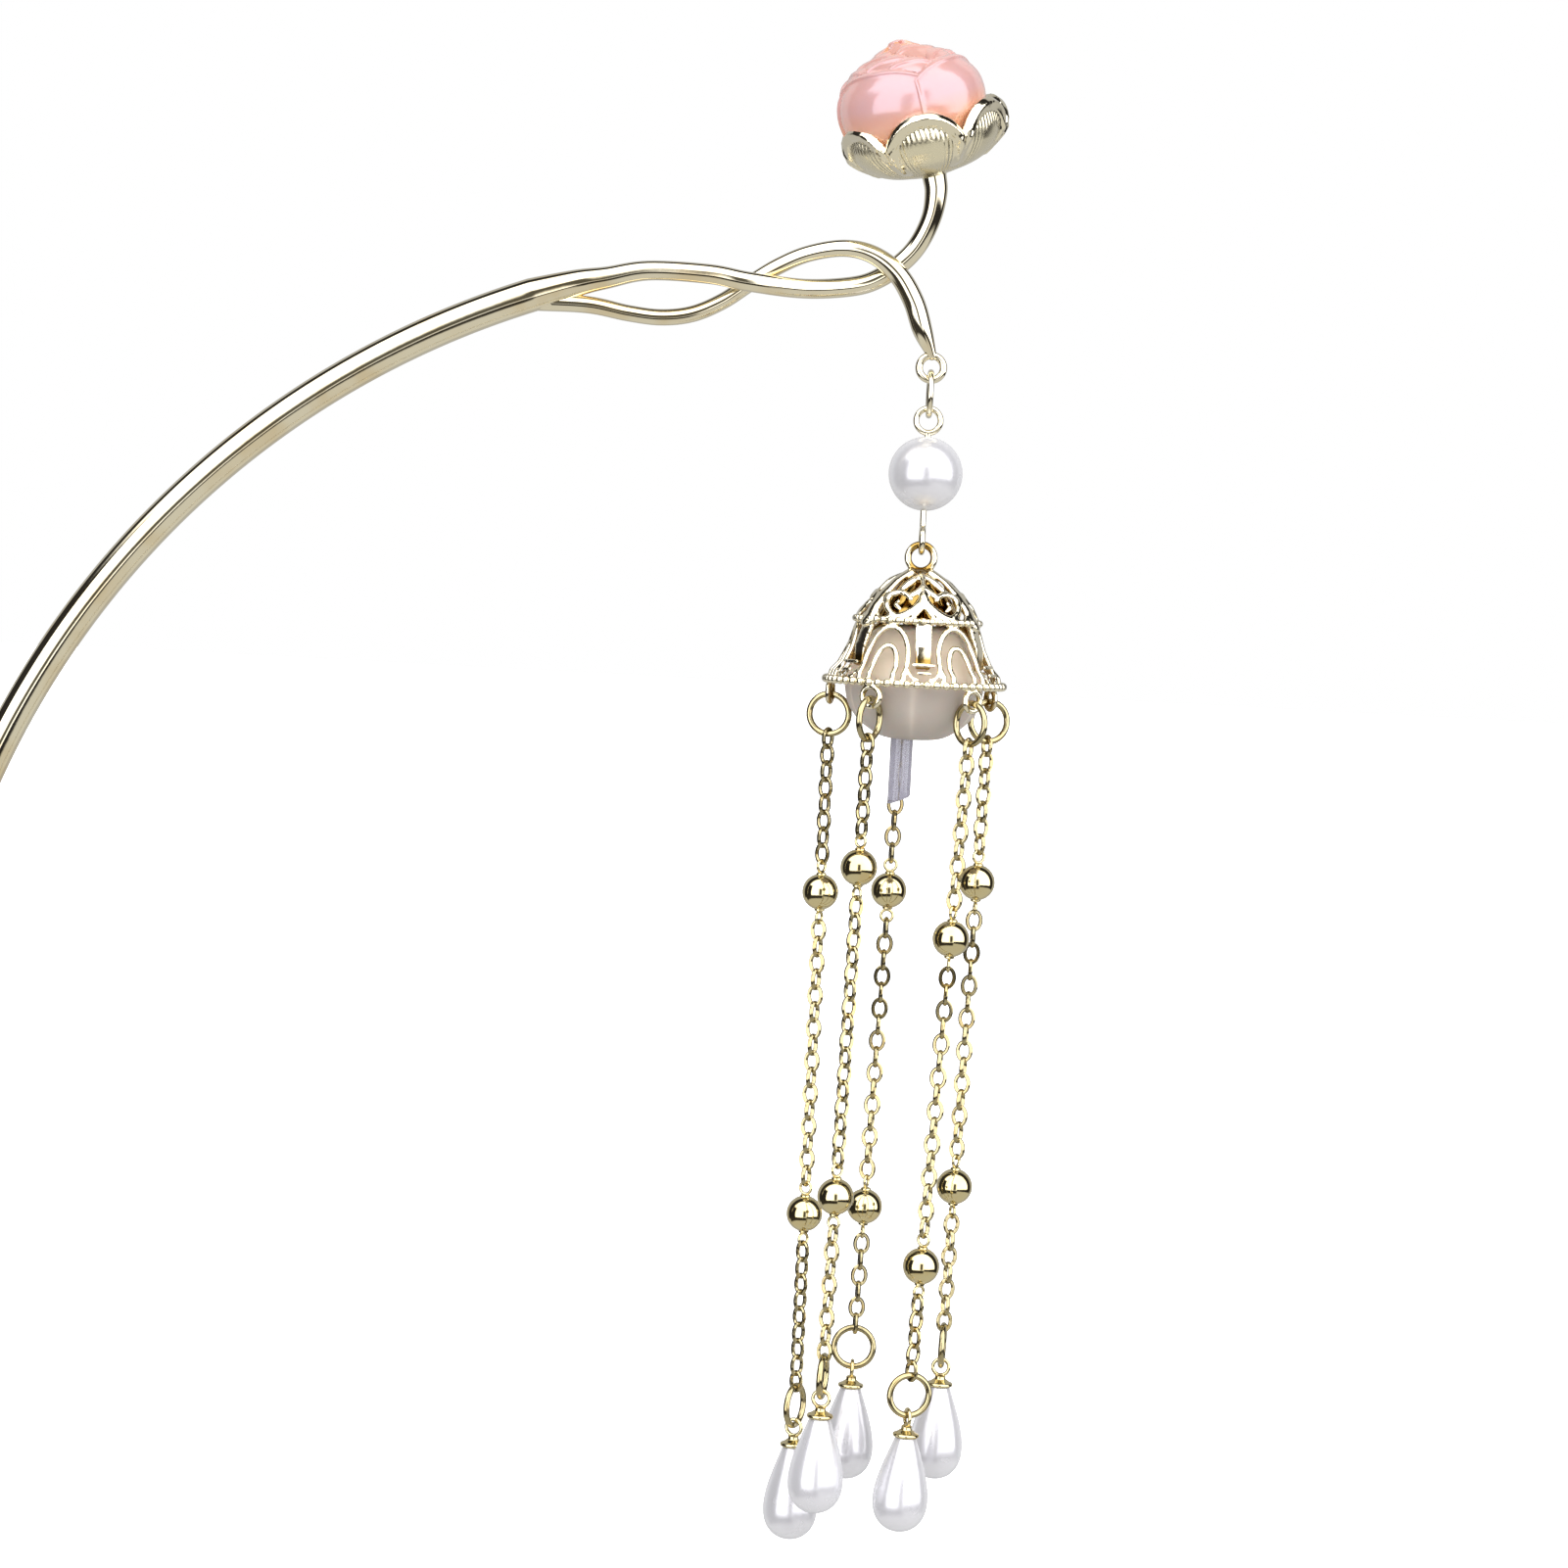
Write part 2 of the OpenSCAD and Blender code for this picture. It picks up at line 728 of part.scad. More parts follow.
// The gaps of one bay, with the arches' feet at height 0
module skirt_gap_shapes() {
    inner_w = arch_w * inner_arch;
    inner_h = arch_h * inner_arch;
    side_w = crown_r * sin(180 / bays) - plate_w / 2;
    bay_h = skirt_h * arch_foot - upper_rim_d;
    head = arch(arch_w, arch_h, side_gap_from, side_gap_to, 4);
    corners = [for (row = SIDE_GAP_ROWS) [row[0] * side_w, row[1] * bay_h]];
    polygon(arch(inner_w - 2 * arch_band, inner_h - arch_band));
    difference() {
        polygon(arch(arch_w - 2 * arch_band, arch_h - arch_band));
        polygon(arch(inner_w, inner_h));
    }
    for (side = [0, 1])
        mirror([side, 0])
            polygon(concat(head, corners));
}

module skirt_gaps() {
    for (i = [0 : bays - 1])
        rotate([0, 0, cap_turn + (i + 0.5) * 360 / bays])
            translate([0, -crown_r / 2, -crown_h - skirt_h * arch_foot])
                rotate([90, 0, 0])
                    linear_extrude(cap_r)
                        skirt_gap_shapes();
}

module skirt_plates() {
    top = skirt_outline(0)[0];
    foot = skirt_outline(0)[2];
    slope = atan2(foot[0] - top[0], top[1] - foot[1]);
    plate_h = norm(foot - top);
    for (i = [0 : bays - 1])
        rotate([0, 0, cap_turn + i * 360 / bays])
            translate([0, -top[0], top[1]])
                rotate([-slope, 0, 0])
                    translate([-plate_w / 2, -relief, -plate_h])
                        cube([plate_w, relief + cap_wall / 2, plate_h]);
}

module ears() {
    for (i = [0 : strands - 1])
        rotate([0, 0, strand_angle(i)])
            translate([0, -ear_ring_r, ear_z - cap_top_z])
                wire_ring(ear_d, ear_wire_d);
}

module inner_pin() {
    foot = rod_top_z - pin_in_rod - cap_top_z;
    translate([-rod_shift, 0, foot])
        cylinder(d = inner_pin_d, h = -foot - cap_wall / 2);
}

module cap() {
    color("khaki")
        hanging()
            translate([0, 0, cap_top_z]) {
                difference() {
                    cap_shell();
                    crown_gaps();
                    skirt_gaps();
                }
                crown_ribs();
                skirt_plates();
                rim(crown_r, -crown_h, upper_rim_d);
                rim(cap_r, -crown_h - skirt_h, lower_rim_d);
                translate([0, 0, cap_ring_z - cap_top_z])
                    wire_ring(cap_ring_d, cap_ring_wire_d);
                ears();
                inner_pin();
            }
}

// Flower and rod

function flower_outline(out) = [
    for (row = FLOWER_ROWS) [row[0] * flower_r + out, -row[1] * flower_h]
];

module bell_flower() {
    color("gainsboro", 0.8)
        hanging()
            translate([0, 0, flower_top_z])
                difference() {
                    rotate_extrude()
                        polygon(concat(
                            [[0, 0]],
                            flower_outline(0),
                            [[0, -flower_h], [0, flower_wall - flower_h]],
                            reversed(flower_outline(-flower_wall)),
                            [[0, -flower_wall]]
                        ));
                    translate([-rod_shift, 0, -flower_h / 2])
                        cylinder(d = inner_pin_d + 2 * hang_gap, h = flower_h);
                    translate([-rod_shift, 0, -flower_h * 1.5])
                        cylinder(d = rod_d + 2 * hang_gap, h = flower_h);
                }
}

module rod() {
    color("lavender", 0.6)
        hanging()
            translate([-rod_shift, 0, rod_top_z - rod_len])
                difference() {
                    cylinder(d = rod_d, h = rod_len);
                    translate([0, 0, rod_len - pin_in_rod - hang_gap])
                        cylinder(d = inner_pin_d + 2 * seat_gap, h = rod_len);
                }
}

// Strands, each in its own frame: the origin is the ear's centre, and X points outwards

function strand_angle(i) = first_strand + i * 360 / strands;
function links(i, stretch) = STRAND_ROWS[i][STRAND_LINKS][stretch];

// Height of a stretch's first link at its top, under a piece whose wire's centre is at z
function first_link_z(z, wire_d) = hung(z, wire_d, link_wire_d);
// Height of the wire's centre at the top of the piece that hangs under the stretch
function under_links_z(z, wire_d, count, next_wire_d) =
    hung(first_link_z(z, wire_d) - (count - 1) * link_pitch - link_len, link_wire_d, next_wire_d);

function ring_foot_z() = top_ring_z - ring_d / 2;
function upper_ball_z(i) =
    under_links_z(ring_foot_z(), ring_wire_d, links(i, 0), link_wire_d)
        - ball_eye_d / 2 - ball_eye_z;
function ball_foot_z(ball_z) = ball_z - ball_eye_z - ball_eye_d / 2;
function lower_ball_z(i) =
    under_links_z(ball_foot_z(upper_ball_z(i)), link_wire_d, links(i, 1), link_wire_d)
        - ball_eye_d / 2 - ball_eye_z;
function drop_ring_z(i) =
    under_links_z(ball_foot_z(lower_ball_z(i)), link_wire_d, links(i, 2), ring_wire_d)
        - ring_d / 2;
function drop_eye_z(i) =
    hung(drop_ring_z(i) - ring_d / 2, ring_wire_d, drop_eye_wire_d) - drop_eye_d / 2;

// Directions of the flat pieces' planes, given from X and counted from the outward
// direction. A link hangs square to the one above it, and a ball's eye to its next link.
function from_outward(i, direction) = direction - (strand_angle(i) - 90);
function link_turn(i, stretch, k) =
    from_outward(i, STRAND_ROWS[i][STRAND_LINK_TURNS][stretch])
        + k * (90 + (stretch == 1 ? STRAND_ROWS[i][STRAND_TWIST] : 0));
function eye_above(i, stretch) = link_turn(i, stretch, 0) - 90;
function eye_below(i, stretch) = link_turn(i, stretch, links(i, stretch) - 1) + 90;
function drop_ring_turn(i) = from_outward(i, STRAND_ROWS[i][STRAND_RING_TURN]);

module on_strand(i) {
    hanging()
        rotate([0, 0, strand_angle(i)])
            translate([0, -ear_ring_r, ear_z])
                rotate([0, 0, -strand_angle(i)])
                    rotate([0, STRAND_ROWS[i][STRAND_LEAN], 0])
                        rotate([0, 0, strand_angle(i) - 90])
                            children();
}

module link() {
    straight = link_len - link_w;
    rotate([90, 0, 0]) {
        for (end = [0, 1])
            mirror([0, end, 0])
                translate([0, straight / 2, 0])
                    rotate_extrude(angle = 180)
                        translate([link_w / 2, 0])
                            circle(d = link_wire_d);
        for (side = [-1, 1])
            translate([side * link_w / 2, 0, 0])
                rotate([90, 0, 0])
                    cylinder(d = link_wire_d, h = straight, center = true);
    }
}

// One stretch of links under a piece whose wire's centre is at z
module links_under(i, stretch, z, wire_d) {
    top = first_link_z(z, wire_d);
    for (k = [0 : links(i, stretch) - 1])
        translate([0, 0, top - k * link_pitch - link_len / 2])
            rotate([0, 0, link_turn(i, stretch, k)])
                link();
}

module chain(i) {
    color("goldenrod")
        on_strand(i) {
            links_under(i, 0, ring_foot_z(), ring_wire_d);
            links_under(i, 1, ball_foot_z(upper_ball_z(i)), link_wire_d);
            links_under(i, 2, ball_foot_z(lower_ball_z(i)), link_wire_d);
        }
}

module top_ring(i) {
    color("gold")
        on_strand(i)
            translate([0, 0, top_ring_z])
                wire_ring(ring_d, ring_wire_d);
}

module ball(upper_turn, lower_turn) {
    sphere(d = ball_d);
    cylinder(d = ball_neck_d, h = ball_d + 2 * ball_neck_h, center = true);
    translate([0, 0, ball_eye_z])
        rotate([0, 0, upper_turn])
            wire_ring(ball_eye_d, link_wire_d);
    translate([0, 0, -ball_eye_z])
        rotate([0, 0, lower_turn])
            wire_ring(ball_eye_d, link_wire_d);
}

module upper_ball(i) {
    color("goldenrod")
        on_strand(i)
            translate([0, 0, upper_ball_z(i)])
                ball(eye_below(i, 0), eye_above(i, 1));
}

module lower_ball(i) {
    color("goldenrod")
        on_strand(i)
            translate([0, 0, lower_ball_z(i)])
                ball(eye_below(i, 1), eye_above(i, 2));
}

module drop_ring(i) {
    color("gold")
        on_strand(i)
            translate([0, 0, drop_ring_z(i)])
                rotate([0, 0, drop_ring_turn(i)])
                    wire_ring(ring_d, ring_wire_d);
}

module drop_cap(i) {
    neck_top = flange_t + drop_neck_h + drop_eye_wire_d / 2;
    color("goldenrod")
        on_strand(i)
            translate([0, 0, drop_eye_z(i)]) {
                rotate([0, 0, drop_ring_turn(i) + 90])
                    wire_ring(drop_eye_d, drop_eye_wire_d);
                translate([0, 0, -drop_eye_rise - flange_t])
                    rotate_extrude()
                        polygon([
                            [0, -peg_len],
                            [peg_d / 2, -peg_len],
                            [peg_d / 2, 0],
                            [flange_d / 2, 0],
                            [flange_d / 2, flange_t],
                            [(flange_d + drop_neck_d) / 4, flange_t + drop_neck_h / 4],
                            [drop_neck_d / 2, neck_top],
                            [0, neck_top]
                        ]);
            }
}

// A teardrop's outline, from its flat top to its foot: the widest point is below the middle
function drop_share(t) = sin(t) * pow(sin(t / 2), drop_slimness);
drop_peak = max([for (t = [0 : drop_step / 2 : 180]) drop_share(t)]);

module teardrop(i) {
    depth = cos(drop_top_angle) + 1;
    color("ghostwhite")
        on_strand(i)
            translate([0, 0, drop_eye_z(i) - drop_eye_rise - flange_t - seat_gap])
                difference() {
                    rotate_extrude()
                        polygon(concat(
                            [[0, 0]],
                            [for (t = [drop_top_angle : drop_step : 180 - drop_step / 2])
                                [
                                    drop_d / 2 * drop_share(t) / drop_peak,
                                    -drop_len * (cos(drop_top_angle) - cos(t)) / depth
                                ]],
                            [[0, -drop_len]]
                        ));
                    translate([0, 0, -peg_len - hang_gap])
                        cylinder(d = peg_d + 2 * seat_gap, h = drop_len);
                }
}

pin();
calyx();
bud();
hook_ring();
pearl();
pearl_wire();
cap();
bell_flower();
rod();
for (i = [0 : strands - 1]) {
    top_ring(i);
    chain(i);
    upper_ball(i);
    lower_ball(i);
    drop_ring(i);
    drop_cap(i);
    teardrop(i);
}
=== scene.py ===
"""Buyao hairpin: the finished look of every piece, built round the packed frame.

The file is laid out as an add-on: property groups with the sizes and finishes, one operator
for each piece or group of like pieces, a panel that lists them, and a main function that
runs them in order. Lengths are in metres. What hangs is placed by the same sizes as in the
frame, wire by wire.
"""

import math

import bmesh
import bpy
import numpy as np
from bpy.props import FloatProperty, FloatVectorProperty, IntProperty, PointerProperty
from mathutils import Matrix, Vector
from mathutils.kdtree import KDTree


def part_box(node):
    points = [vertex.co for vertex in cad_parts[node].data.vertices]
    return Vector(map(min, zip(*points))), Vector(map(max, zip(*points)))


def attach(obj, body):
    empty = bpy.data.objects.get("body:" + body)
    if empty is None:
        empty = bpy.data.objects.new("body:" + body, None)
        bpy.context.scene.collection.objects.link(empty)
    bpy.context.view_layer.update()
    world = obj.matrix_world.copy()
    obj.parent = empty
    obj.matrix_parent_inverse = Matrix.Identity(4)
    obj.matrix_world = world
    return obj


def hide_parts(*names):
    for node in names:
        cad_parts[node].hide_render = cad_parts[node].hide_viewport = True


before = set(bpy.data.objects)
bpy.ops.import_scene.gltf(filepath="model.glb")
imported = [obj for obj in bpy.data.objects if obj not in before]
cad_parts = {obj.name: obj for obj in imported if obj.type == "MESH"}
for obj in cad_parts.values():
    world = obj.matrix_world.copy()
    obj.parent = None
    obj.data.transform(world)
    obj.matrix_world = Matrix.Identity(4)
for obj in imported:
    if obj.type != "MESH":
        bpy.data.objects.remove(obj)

bl_info = {
    "name": "Buyao hairpin",
    "version": (1, 0, 0),
    "blender": (4, 5, 0),
    "location": "View3D > Sidebar > Hairpin",
    "description": "Builds a hairpin with a carved bud and a hanging drop of chains and teardrops",
    "category": "Add Mesh",
}

MM = 0.001

# Bodies of the frame
HAIRPIN = "hairpin"
UPPER_RING = "upper_ring"
PEARL_LINK = "pearl_link"
DROP = "drop"

STRANDS = 5

RIGHT = np.array([1.0, 0.0, 0.0])
BACK = np.array([0.0, 1.0, 0.0])
UP = np.array([0.0, 0.0, 1.0])

# An edge stays sharp where its faces turn by more than this
SHARP_EDGE = math.radians(40)

# Tables and shares, one piece after the other. The columns of a table are named over it.

# The shaft's point: shares of point_len, and of the way from shaft_d to tip_d
POINT_ROWS = ((0, 0), (0.25, 0.2), (0.5, 0.5), (0.75, 0.85), (0.9, 1.03), (0.98, 1.25), (1, 1.5))

# A strand of the twist: shares of twist_len, twist_depth, twist_h and the strand's thickness
STEM_ROWS = (
    (0.08, 0, 0.17, 1.36),
    (0.157, -0.3, 0.29, 1.12),
    (0.263, -0.6, 0.45, 1),
    (0.42, -0.9, 0.44, 1),
    (0.523, -1, 0.34, 1),
    (0.663, 0, 0.28, 1),
    (0.785, 0.8, 0.37, 1),
    (0.853, 1, 0.54, 1),
    (0.913, 1, 0.86, 1),
    (0.952, 0.8, 1.2, 1),
    (0.98, 0.4, 1.66, 1.03),
    (0.988, 0.1, 2.1, 1.16),
    (0.981, 0, 2.4, 1.25),
)
HOOK_ROWS = (
    (-0.04, 0, -0.2, 1.1),
    (0.11, 0.3, -0.2, 1.05),
    (0.215, 0.6, -0.31, 1),
    (0.3, 0.8, -0.35, 1),
    (0.38, 0.9, -0.26, 1),
    (0.455, 1, -0.01, 1),
    (0.525, 1, 0.34, 1),
    (0.595, 0.6, 0.66, 1),
    (0.67, 0, 0.9, 1),
    (0.76, -0.8, 1.02, 1.04),
    (0.835, -1, 0.93, 1.12),
    (0.9, -1, 0.62, 1.24),
    (0.945, -0.8, 0.15, 1.3),
    (0.972, -0.5, -0.35, 1.22),
)

# Thickness of the hook's strand where it meets its eye, as a share of the eye's wire
HOOK_END = 1.3

# Points of a swept strand for each stretch between two of its rows
SWEEP_STEPS = 8

# The bud's outline: shares of bud_r and bud_h
BUD_ROWS = (
    (0.3, 0.07), (0.55, 0.1), (0.76, 0.165), (0.89, 0.25), (0.95, 0.34), (0.985, 0.43),
    (1, 0.5), (0.99, 0.57), (0.96, 0.63), (0.905, 0.685), (0.84, 0.73), (0.77, 0.77),
    (0.7, 0.805), (0.62, 0.84), (0.53, 0.875), (0.43, 0.91), (0.32, 0.945), (0.22, 0.97),
    (0.13, 0.99), (0, 1),
)

# One petal a row: its direction and half width in degrees, the height of its edge as a share
# of bud_h, and how many petals thick the bud is there
PETAL_ROWS = (
    (-37, 49, 0.82, 3),
    (53, 47, 0.815, 3),
    (139, 46, 0.82, 3),
    (229, 48, 0.81, 3),
    (4, 32, 0.862, 2.5),
    (-75, 34, 0.855, 2.5),
    (105, 36, 0.865, 2.5),
    (192, 40, 0.86, 2.5),
    (-20, 40, 0.9, 2),
    (66, 42, 0.892, 2),
    (154, 48, 0.9, 2),
    (244, 46, 0.895, 2),
    (-44, 40, 0.928, 1.5),
    (84, 42, 0.925, 1.5),
    (198, 44, 0.928, 1.5),
    (28, 56, 0.953, 1),
    (148, 56, 0.95, 1),
    (270, 58, 0.955, 1),
    (-12, 44, 0.975, 0.5),
    (108, 46, 0.973, 0.5),
    (223, 46, 0.973, 0.5),
)

# A petal's edge is lower at its sides by this share of its height, and the petal ends at this
# share of its half width. Its sides are measured at the bud's radius there, or at this share of
# bud_r where that is larger, and its middle stands out by this share of petal_bulge.
PETAL_DROOP = 0.12
PETAL_REACH = 1.08
PETAL_SIDE_R = 0.3
PETAL_MIDDLE = 0.6

# Place and width of the lip inside a petal's edge and of the groove outside it, and the
# groove's depth as a share of the lip
LIP_PLACE = 0.36 * MM
LIP_W = 0.24 * MM
GROOVE_PLACE = 0.24 * MM
GROOVE_W = 0.2 * MM
GROOVE_DEPTH = 1.5

# Petals on top of each other at the bud's widest, and what each adds, as a share of petal_t
PETAL_LAYERS = 3
LAYER_STEP = 0.5

# Shares of bud_h: where the carving starts and the height over which it deepens, and the
# heights under the top over which the layers and the relief fade
CARVING_FOOT = 0.28
CARVING_RISE = 0.12
LAYER_FADE = 0.05
RELIEF_FADE = 0.16

# The bud is shifted from its foot up to this share of bud_h, and sunk from this share up
SHIFT_TOP = 0.45
SINK_FOOT = 0.5

# The warm tint's top and the height over which it fades, as shares of bud_h, how strongly the
# same orange lies as painted shade in the grooves and in the depth between petals, and how strongly it
# lies on the very top
WARM_TOP = 0.55
WARM_FADE = 0.22
GROOVE_SHADE = 1.2
DEPTH_SHADE = 0.25
WARM_TIP = 0.2

# A sepal's middle line, from the calyx's foot to the sepal's tip: shares of calyx_r and calyx_h
SEPAL_ROWS = (
    (0.2, 0), (0.47, 0.07), (0.67, 0.19), (0.83, 0.38), (0.905, 0.56), (0.925, 0.74),
    (0.925, 0.93),
)

# A sepal's half width, where its shoulder starts and how round it is. From its waist up it is
# narrower by a share that grows over the waist's length.
SEPAL_HALF = math.radians(31)
SEPAL_SHOULDER = 0.45
SHOULDER_ROUNDNESS = 2.2
SEPAL_WAIST = 0.2
SEPAL_WAIST_LEN = 0.3
SEPAL_NARROWING = 0.12

# The rows of a sepal's wall over its shoulder are spaced by a sine that starts at this angle
TIP_START = 0.15

# Every other sepal stands outside its neighbours by this much, from this share of its length up
SEPAL_STAGGER = 0.3 * MM
STAGGER_START = 0.4

# A sepal's rim: where it starts, where it turns to the tip and where it lies at the tip, all
# along the sepal, then the share of its length that tapers, its thinnest share and its sides
RIM_START = 0.3
RIM_TURN = 0.99
RIM_TIP = 0.995
RIM_TAPER = 0.22
RIM_THINNEST = 0.25
RIM_SIDES = 5

# The polish ends at this share of the rim's thickness and fades over this length
POLISH_REACH = 0.55
POLISH_FADE = 0.3 * MM

# The combed lines: the length beside the rim over which they deepen, where they end, the length
# over which they fade before that, and their number round the calyx
COMB_RISE = 0.25 * MM
COMB_END = 1.6 * MM
COMB_FADE = 1.0 * MM
COMB_LINES = 105.0

# Turned pieces of the castings: radius and height, in millimetres
CALYX_FOOT_ROWS = ((0, -0.2), (1.3, -0.1), (2.3, 0.3), (4.4, 0.9), (4.2, 1.3), (0, 1.2))
COLLAR_ROWS = ((0, 0.25), (0.9, 0.2), (1.5, -0.15), (2.2, -0.75), (1.9, -1.0), (0, -1.0))
INNER_CONE_ROWS = (
    (0, -0.9), (1.9, -1.1), (3.1, -2.3), (4.3, -4.2), (4.7, -5.2), (4.4, -5.2), (3.9, -4.2),
    (2.7, -2.4), (1.2, -1.5), (0, -1.5),
)

# Depth of the hole at each end of the pearl, where its wire goes in
HOLE_DEPTH = 0.35 * MM

# The crown's outline: shares of crown_r and crown_h
CROWN_ROWS = ((0.2, 0), (0.46, 0.2), (0.69, 0.46), (0.86, 0.72), (0.97, 0.97), (1, 1.02))

# The skirt's outline: shares of the way from crown_r to cap_r, and of skirt_h
SKIRT_ROWS = ((0, 0), (-0.05, 0.06), (0.3, 0.46), (0.62, 0.74), (0.88, 0.86), (0.97, 1))

# The slant of the cap's outer face is measured over this distance up and down
SLANT_STEP = 0.4 * MM

# One stroke of the crown a row, drawn on both sides of a panel's middle: its points as shares
# of crown_r across and crown_h down, its widths at the start, the middle and the end as shares
# of scroll_w, how far it stands out in millimetres, and its thickness as a share of its width
SCROLL_TURNS = np.radians(np.arange(-150, 151, 30))[::-1]
CROWN_STROKES = (
    (((0.02, 0.08), (0.14, 0.18), (0.28, 0.32), (0.44, 0.5)), (0.5, 0.7, 0.4), 0.1, 0.8),
    (((0, 0.3), (0.1, 0.42), (0.22, 0.5), (0.3, 0.44)), (0.5, 0.55, 0.35), 0.1, 0.8),
    (((0, 0.48), (0.06, 0.68), (0.2, 0.86), (0.42, 0.96), (0.6, 0.99)), (0.7, 1.1, 0.6), 0.15,
     0.6),
    ([(0.38 + 0.2 * math.cos(a), 0.7 + 0.24 * math.sin(a)) for a in SCROLL_TURNS],
     (0.35, 0.6, 0.45), 0.2, 0.8),
    (((0.52, 0.5), (0.66, 0.62), (0.74, 0.8), (0.72, 0.97)), (0.45, 0.6, 0.5), 0.1, 0.8),
    (((0.4, 0.62), (0.44, 0.7), (0.38, 0.78)), (0.3, 0.5, 0.3), 0.1, 0.8),
)

# The rib between two panels and the stem in a panel's middle: points as shares of crown_h
# down, widths at the top and the foot and how far it stands out in millimetres, its thickness
# as a share of its width, and its sides
RIB = ((0.02, 0.3, 0.6, 1), (1.3, 2.0), 0.1, 0.45, 14)
STEM = ((0.1, 0.3, 0.5), (0.55, 0.55), 0.15, 0.8, 10)

# Points of a stroke's path for each stretch between two of its rows
STROKE_STEPS = 6

# A stroke's points lie to its side by at most this share of the cap's radius there
STROKE_REACH = 0.98

# An arch's leg leans out by this share of the arch's half width, and the outer arches stand
# out by this much
ARCH_LEAN = 1.04
ARCH_OUT = 0.1 * MM

# A plate ends at this share of skirt_h, stands out by this much, and curls in from this share
# of its height
PLATE_END = 0.7
PLATE_OUT = 0.35 * MM
CURL_START = 0.62

# One ledge under a plate a row: its depth as a share of skirt_h, its half length as a share of
# plate_w, its width and how far it stands out, in millimetres
LEDGE_ROWS = ((0.73, 0.55, 0.5, 0.45), (0.84, 0.34, 0.45, 0.25))

# The boss beside the ledges: shares of plate_w across and of skirt_h down, its width and how
# far it stands out
BOSS_ROWS = ((0.35, 0.93), (0.75, 0.88), (0.95, 0.72))
BOSS_W = 0.42 * MM
BOSS_OUT = 0.05 * MM

# The wire under a rim's beads, how far the beads stand out from it, and their spacing as a
# share of their diameter
RIM_WIRE_D = 0.6 * MM
BEAD_OUT = 0.22 * MM
BEAD_PITCH = 1.16

# The plain pin inside the cap: its thickness and the depth of its top
INNER_PIN_D = 1.0 * MM
INNER_PIN_TOP = 0.5 * MM

# The painted shade in the cap's hollows starts this far over its outer face, and deepens inwards
# over this length
HOLLOW_SHADE_START = 0.1 * MM
HOLLOW_SHADE_FADE = 0.25 * MM

# The flower's outline: shares of flower_r and flower_h
FLOWER_ROWS = (
    (0.42, 0.01), (0.63, 0.07), (0.8, 0.21), (0.93, 0.38), (1, 0.54), (0.95, 0.7),
    (0.82, 0.82), (0.64, 0.91), (0.4, 0.98), (0, 1),
)

# The flower's lobes, the direction of the first one, and the depth of the creases between
# them as a share of its radius
FLOWER_LOBES = 5
FLOWER_TURN = math.radians(-2)
CREASE_DEPTH = 0.06

# How evenly the creases fade to both ends of the flower, how much wider their pale seams reach,
# and how pale the foot is
CREASE_FADE = 0.7
SEAM_GAIN = 1.2
SEAM_FOOT = 0.4

# The height over which the painted warm light from the gold cap on the flower fades at the rim
GOLD_BOUNCE_RIM = 1.2 * MM

# The rounding of the rod's edges, and the slope of its cut end
ROD_EDGE = 0.25 * MM
ROD_CUT = 0.4

# One strand a row: its lean to the left, its links above, between and below the balls, the
# direction of its lower ring, of each stretch's first link, and the twist that each link of
# the middle stretch adds, all angles in degrees
STRAND_ROWS = (
    (1.0, (6, 16, 8), 80, (-40, 38, 60), 0),
    (2.05, (10, 16, 5), 15, (60, 0, -52), -2),
    (1.1, (7, 15, 7), 85, (-60, 5, 20), -2.5),
    (1.3, (8, 16, 6), 0, (5, 95, 5), -1.5),
    (-0.2, (8, 16, 9), 65, (52, -28, -45), 0),
)

# A ball's neck: shares of its radius, and the depth under its top in millimetres
NECK_ROWS = ((0, 0), (0.7, 0.02), (1, 0.14), (1.02, 0.3))

# The wire of a ball's eyes, as a share of a link's wire in the frame
BALL_EYE_WIRE = 1.1

# The shoulder over a teardrop cap's flange: shares of the flange's radius and thickness
FLANGE_ROWS = ((0.72, 1.15), (0.55, 1.6))

# The peg of a teardrop's cap inside the bead, and the neck over its flange: shares of the
# neck's radius and of neck_h
PEG_R = 0.35 * MM
PEG_LEN = 0.3 * MM
DROP_NECK_ROWS = ((1.15, 0.45), (1, 0.7), (1.05, 0.95), (0.75, 1.12), (0, 1.15))

# In the frame a teardrop hangs by an eye of this wire, a little thinner than the plated one
FRAME_EYE_WIRE_D = 0.35 * MM

# The point that the camera looks at, the nearest distance that it sees, and half the width of
# the floor, in metres
CAMERA_TARGET = Vector((74.2, 0, -17.1)) * MM
CAMERA_CLIP = 0.01
FLOOR_HALF = 4.0

# What a panel of light is placed by, each with its two limits
PANEL_LIMITS = {
    "Azimuth": ("Left", "Right"),
    "Elevation": ("Low", "High"),
    "Reach": ("Inner", "Outer"),
}

# One panel of light a row, and each lies over those before it: its azimuth to the right of
# the viewer's direction, its elevation, its reach from that direction, its softness, all in
# degrees, its tint, and its strength as a share of the key light
ANY = (-200, 200)
LIGHT_PANELS = (
    (ANY, (-200, -24), ANY, 5, (1.0, 0.99, 0.95), 0.235),
    (ANY, ANY, (121, 200), 7, (0.99, 0.99, 1.0), 0.18),
    ((-60, 200), (-11, 200), (-10, 90), 6, (1.0, 1.0, 1.02), 1.0),
    ((-200, -56), (34, 200), (-10, 90), 10, (1.0, 1.0, 1.02), 1.0),
    ((-140, 15), (-38, -19), (-10, 110), 8, (1.0, 0.9, 0.8), 0.015),
    ((-60, 15), (-18, -5), ANY, 6, (1.0, 1.0, 1.02), 1.0),
    ((-9, 11), (-18, 24), ANY, 12, (1.0, 0.95, 0.8), 0.04),
)
# The light between the panels
GAP_LIGHT = (0.03, 0.028, 0.028)
# What matt surfaces see: a share of the panels, and an even light
DIFFUSE_SHARE = 0.14
DIFFUSE_FILL = 0.58


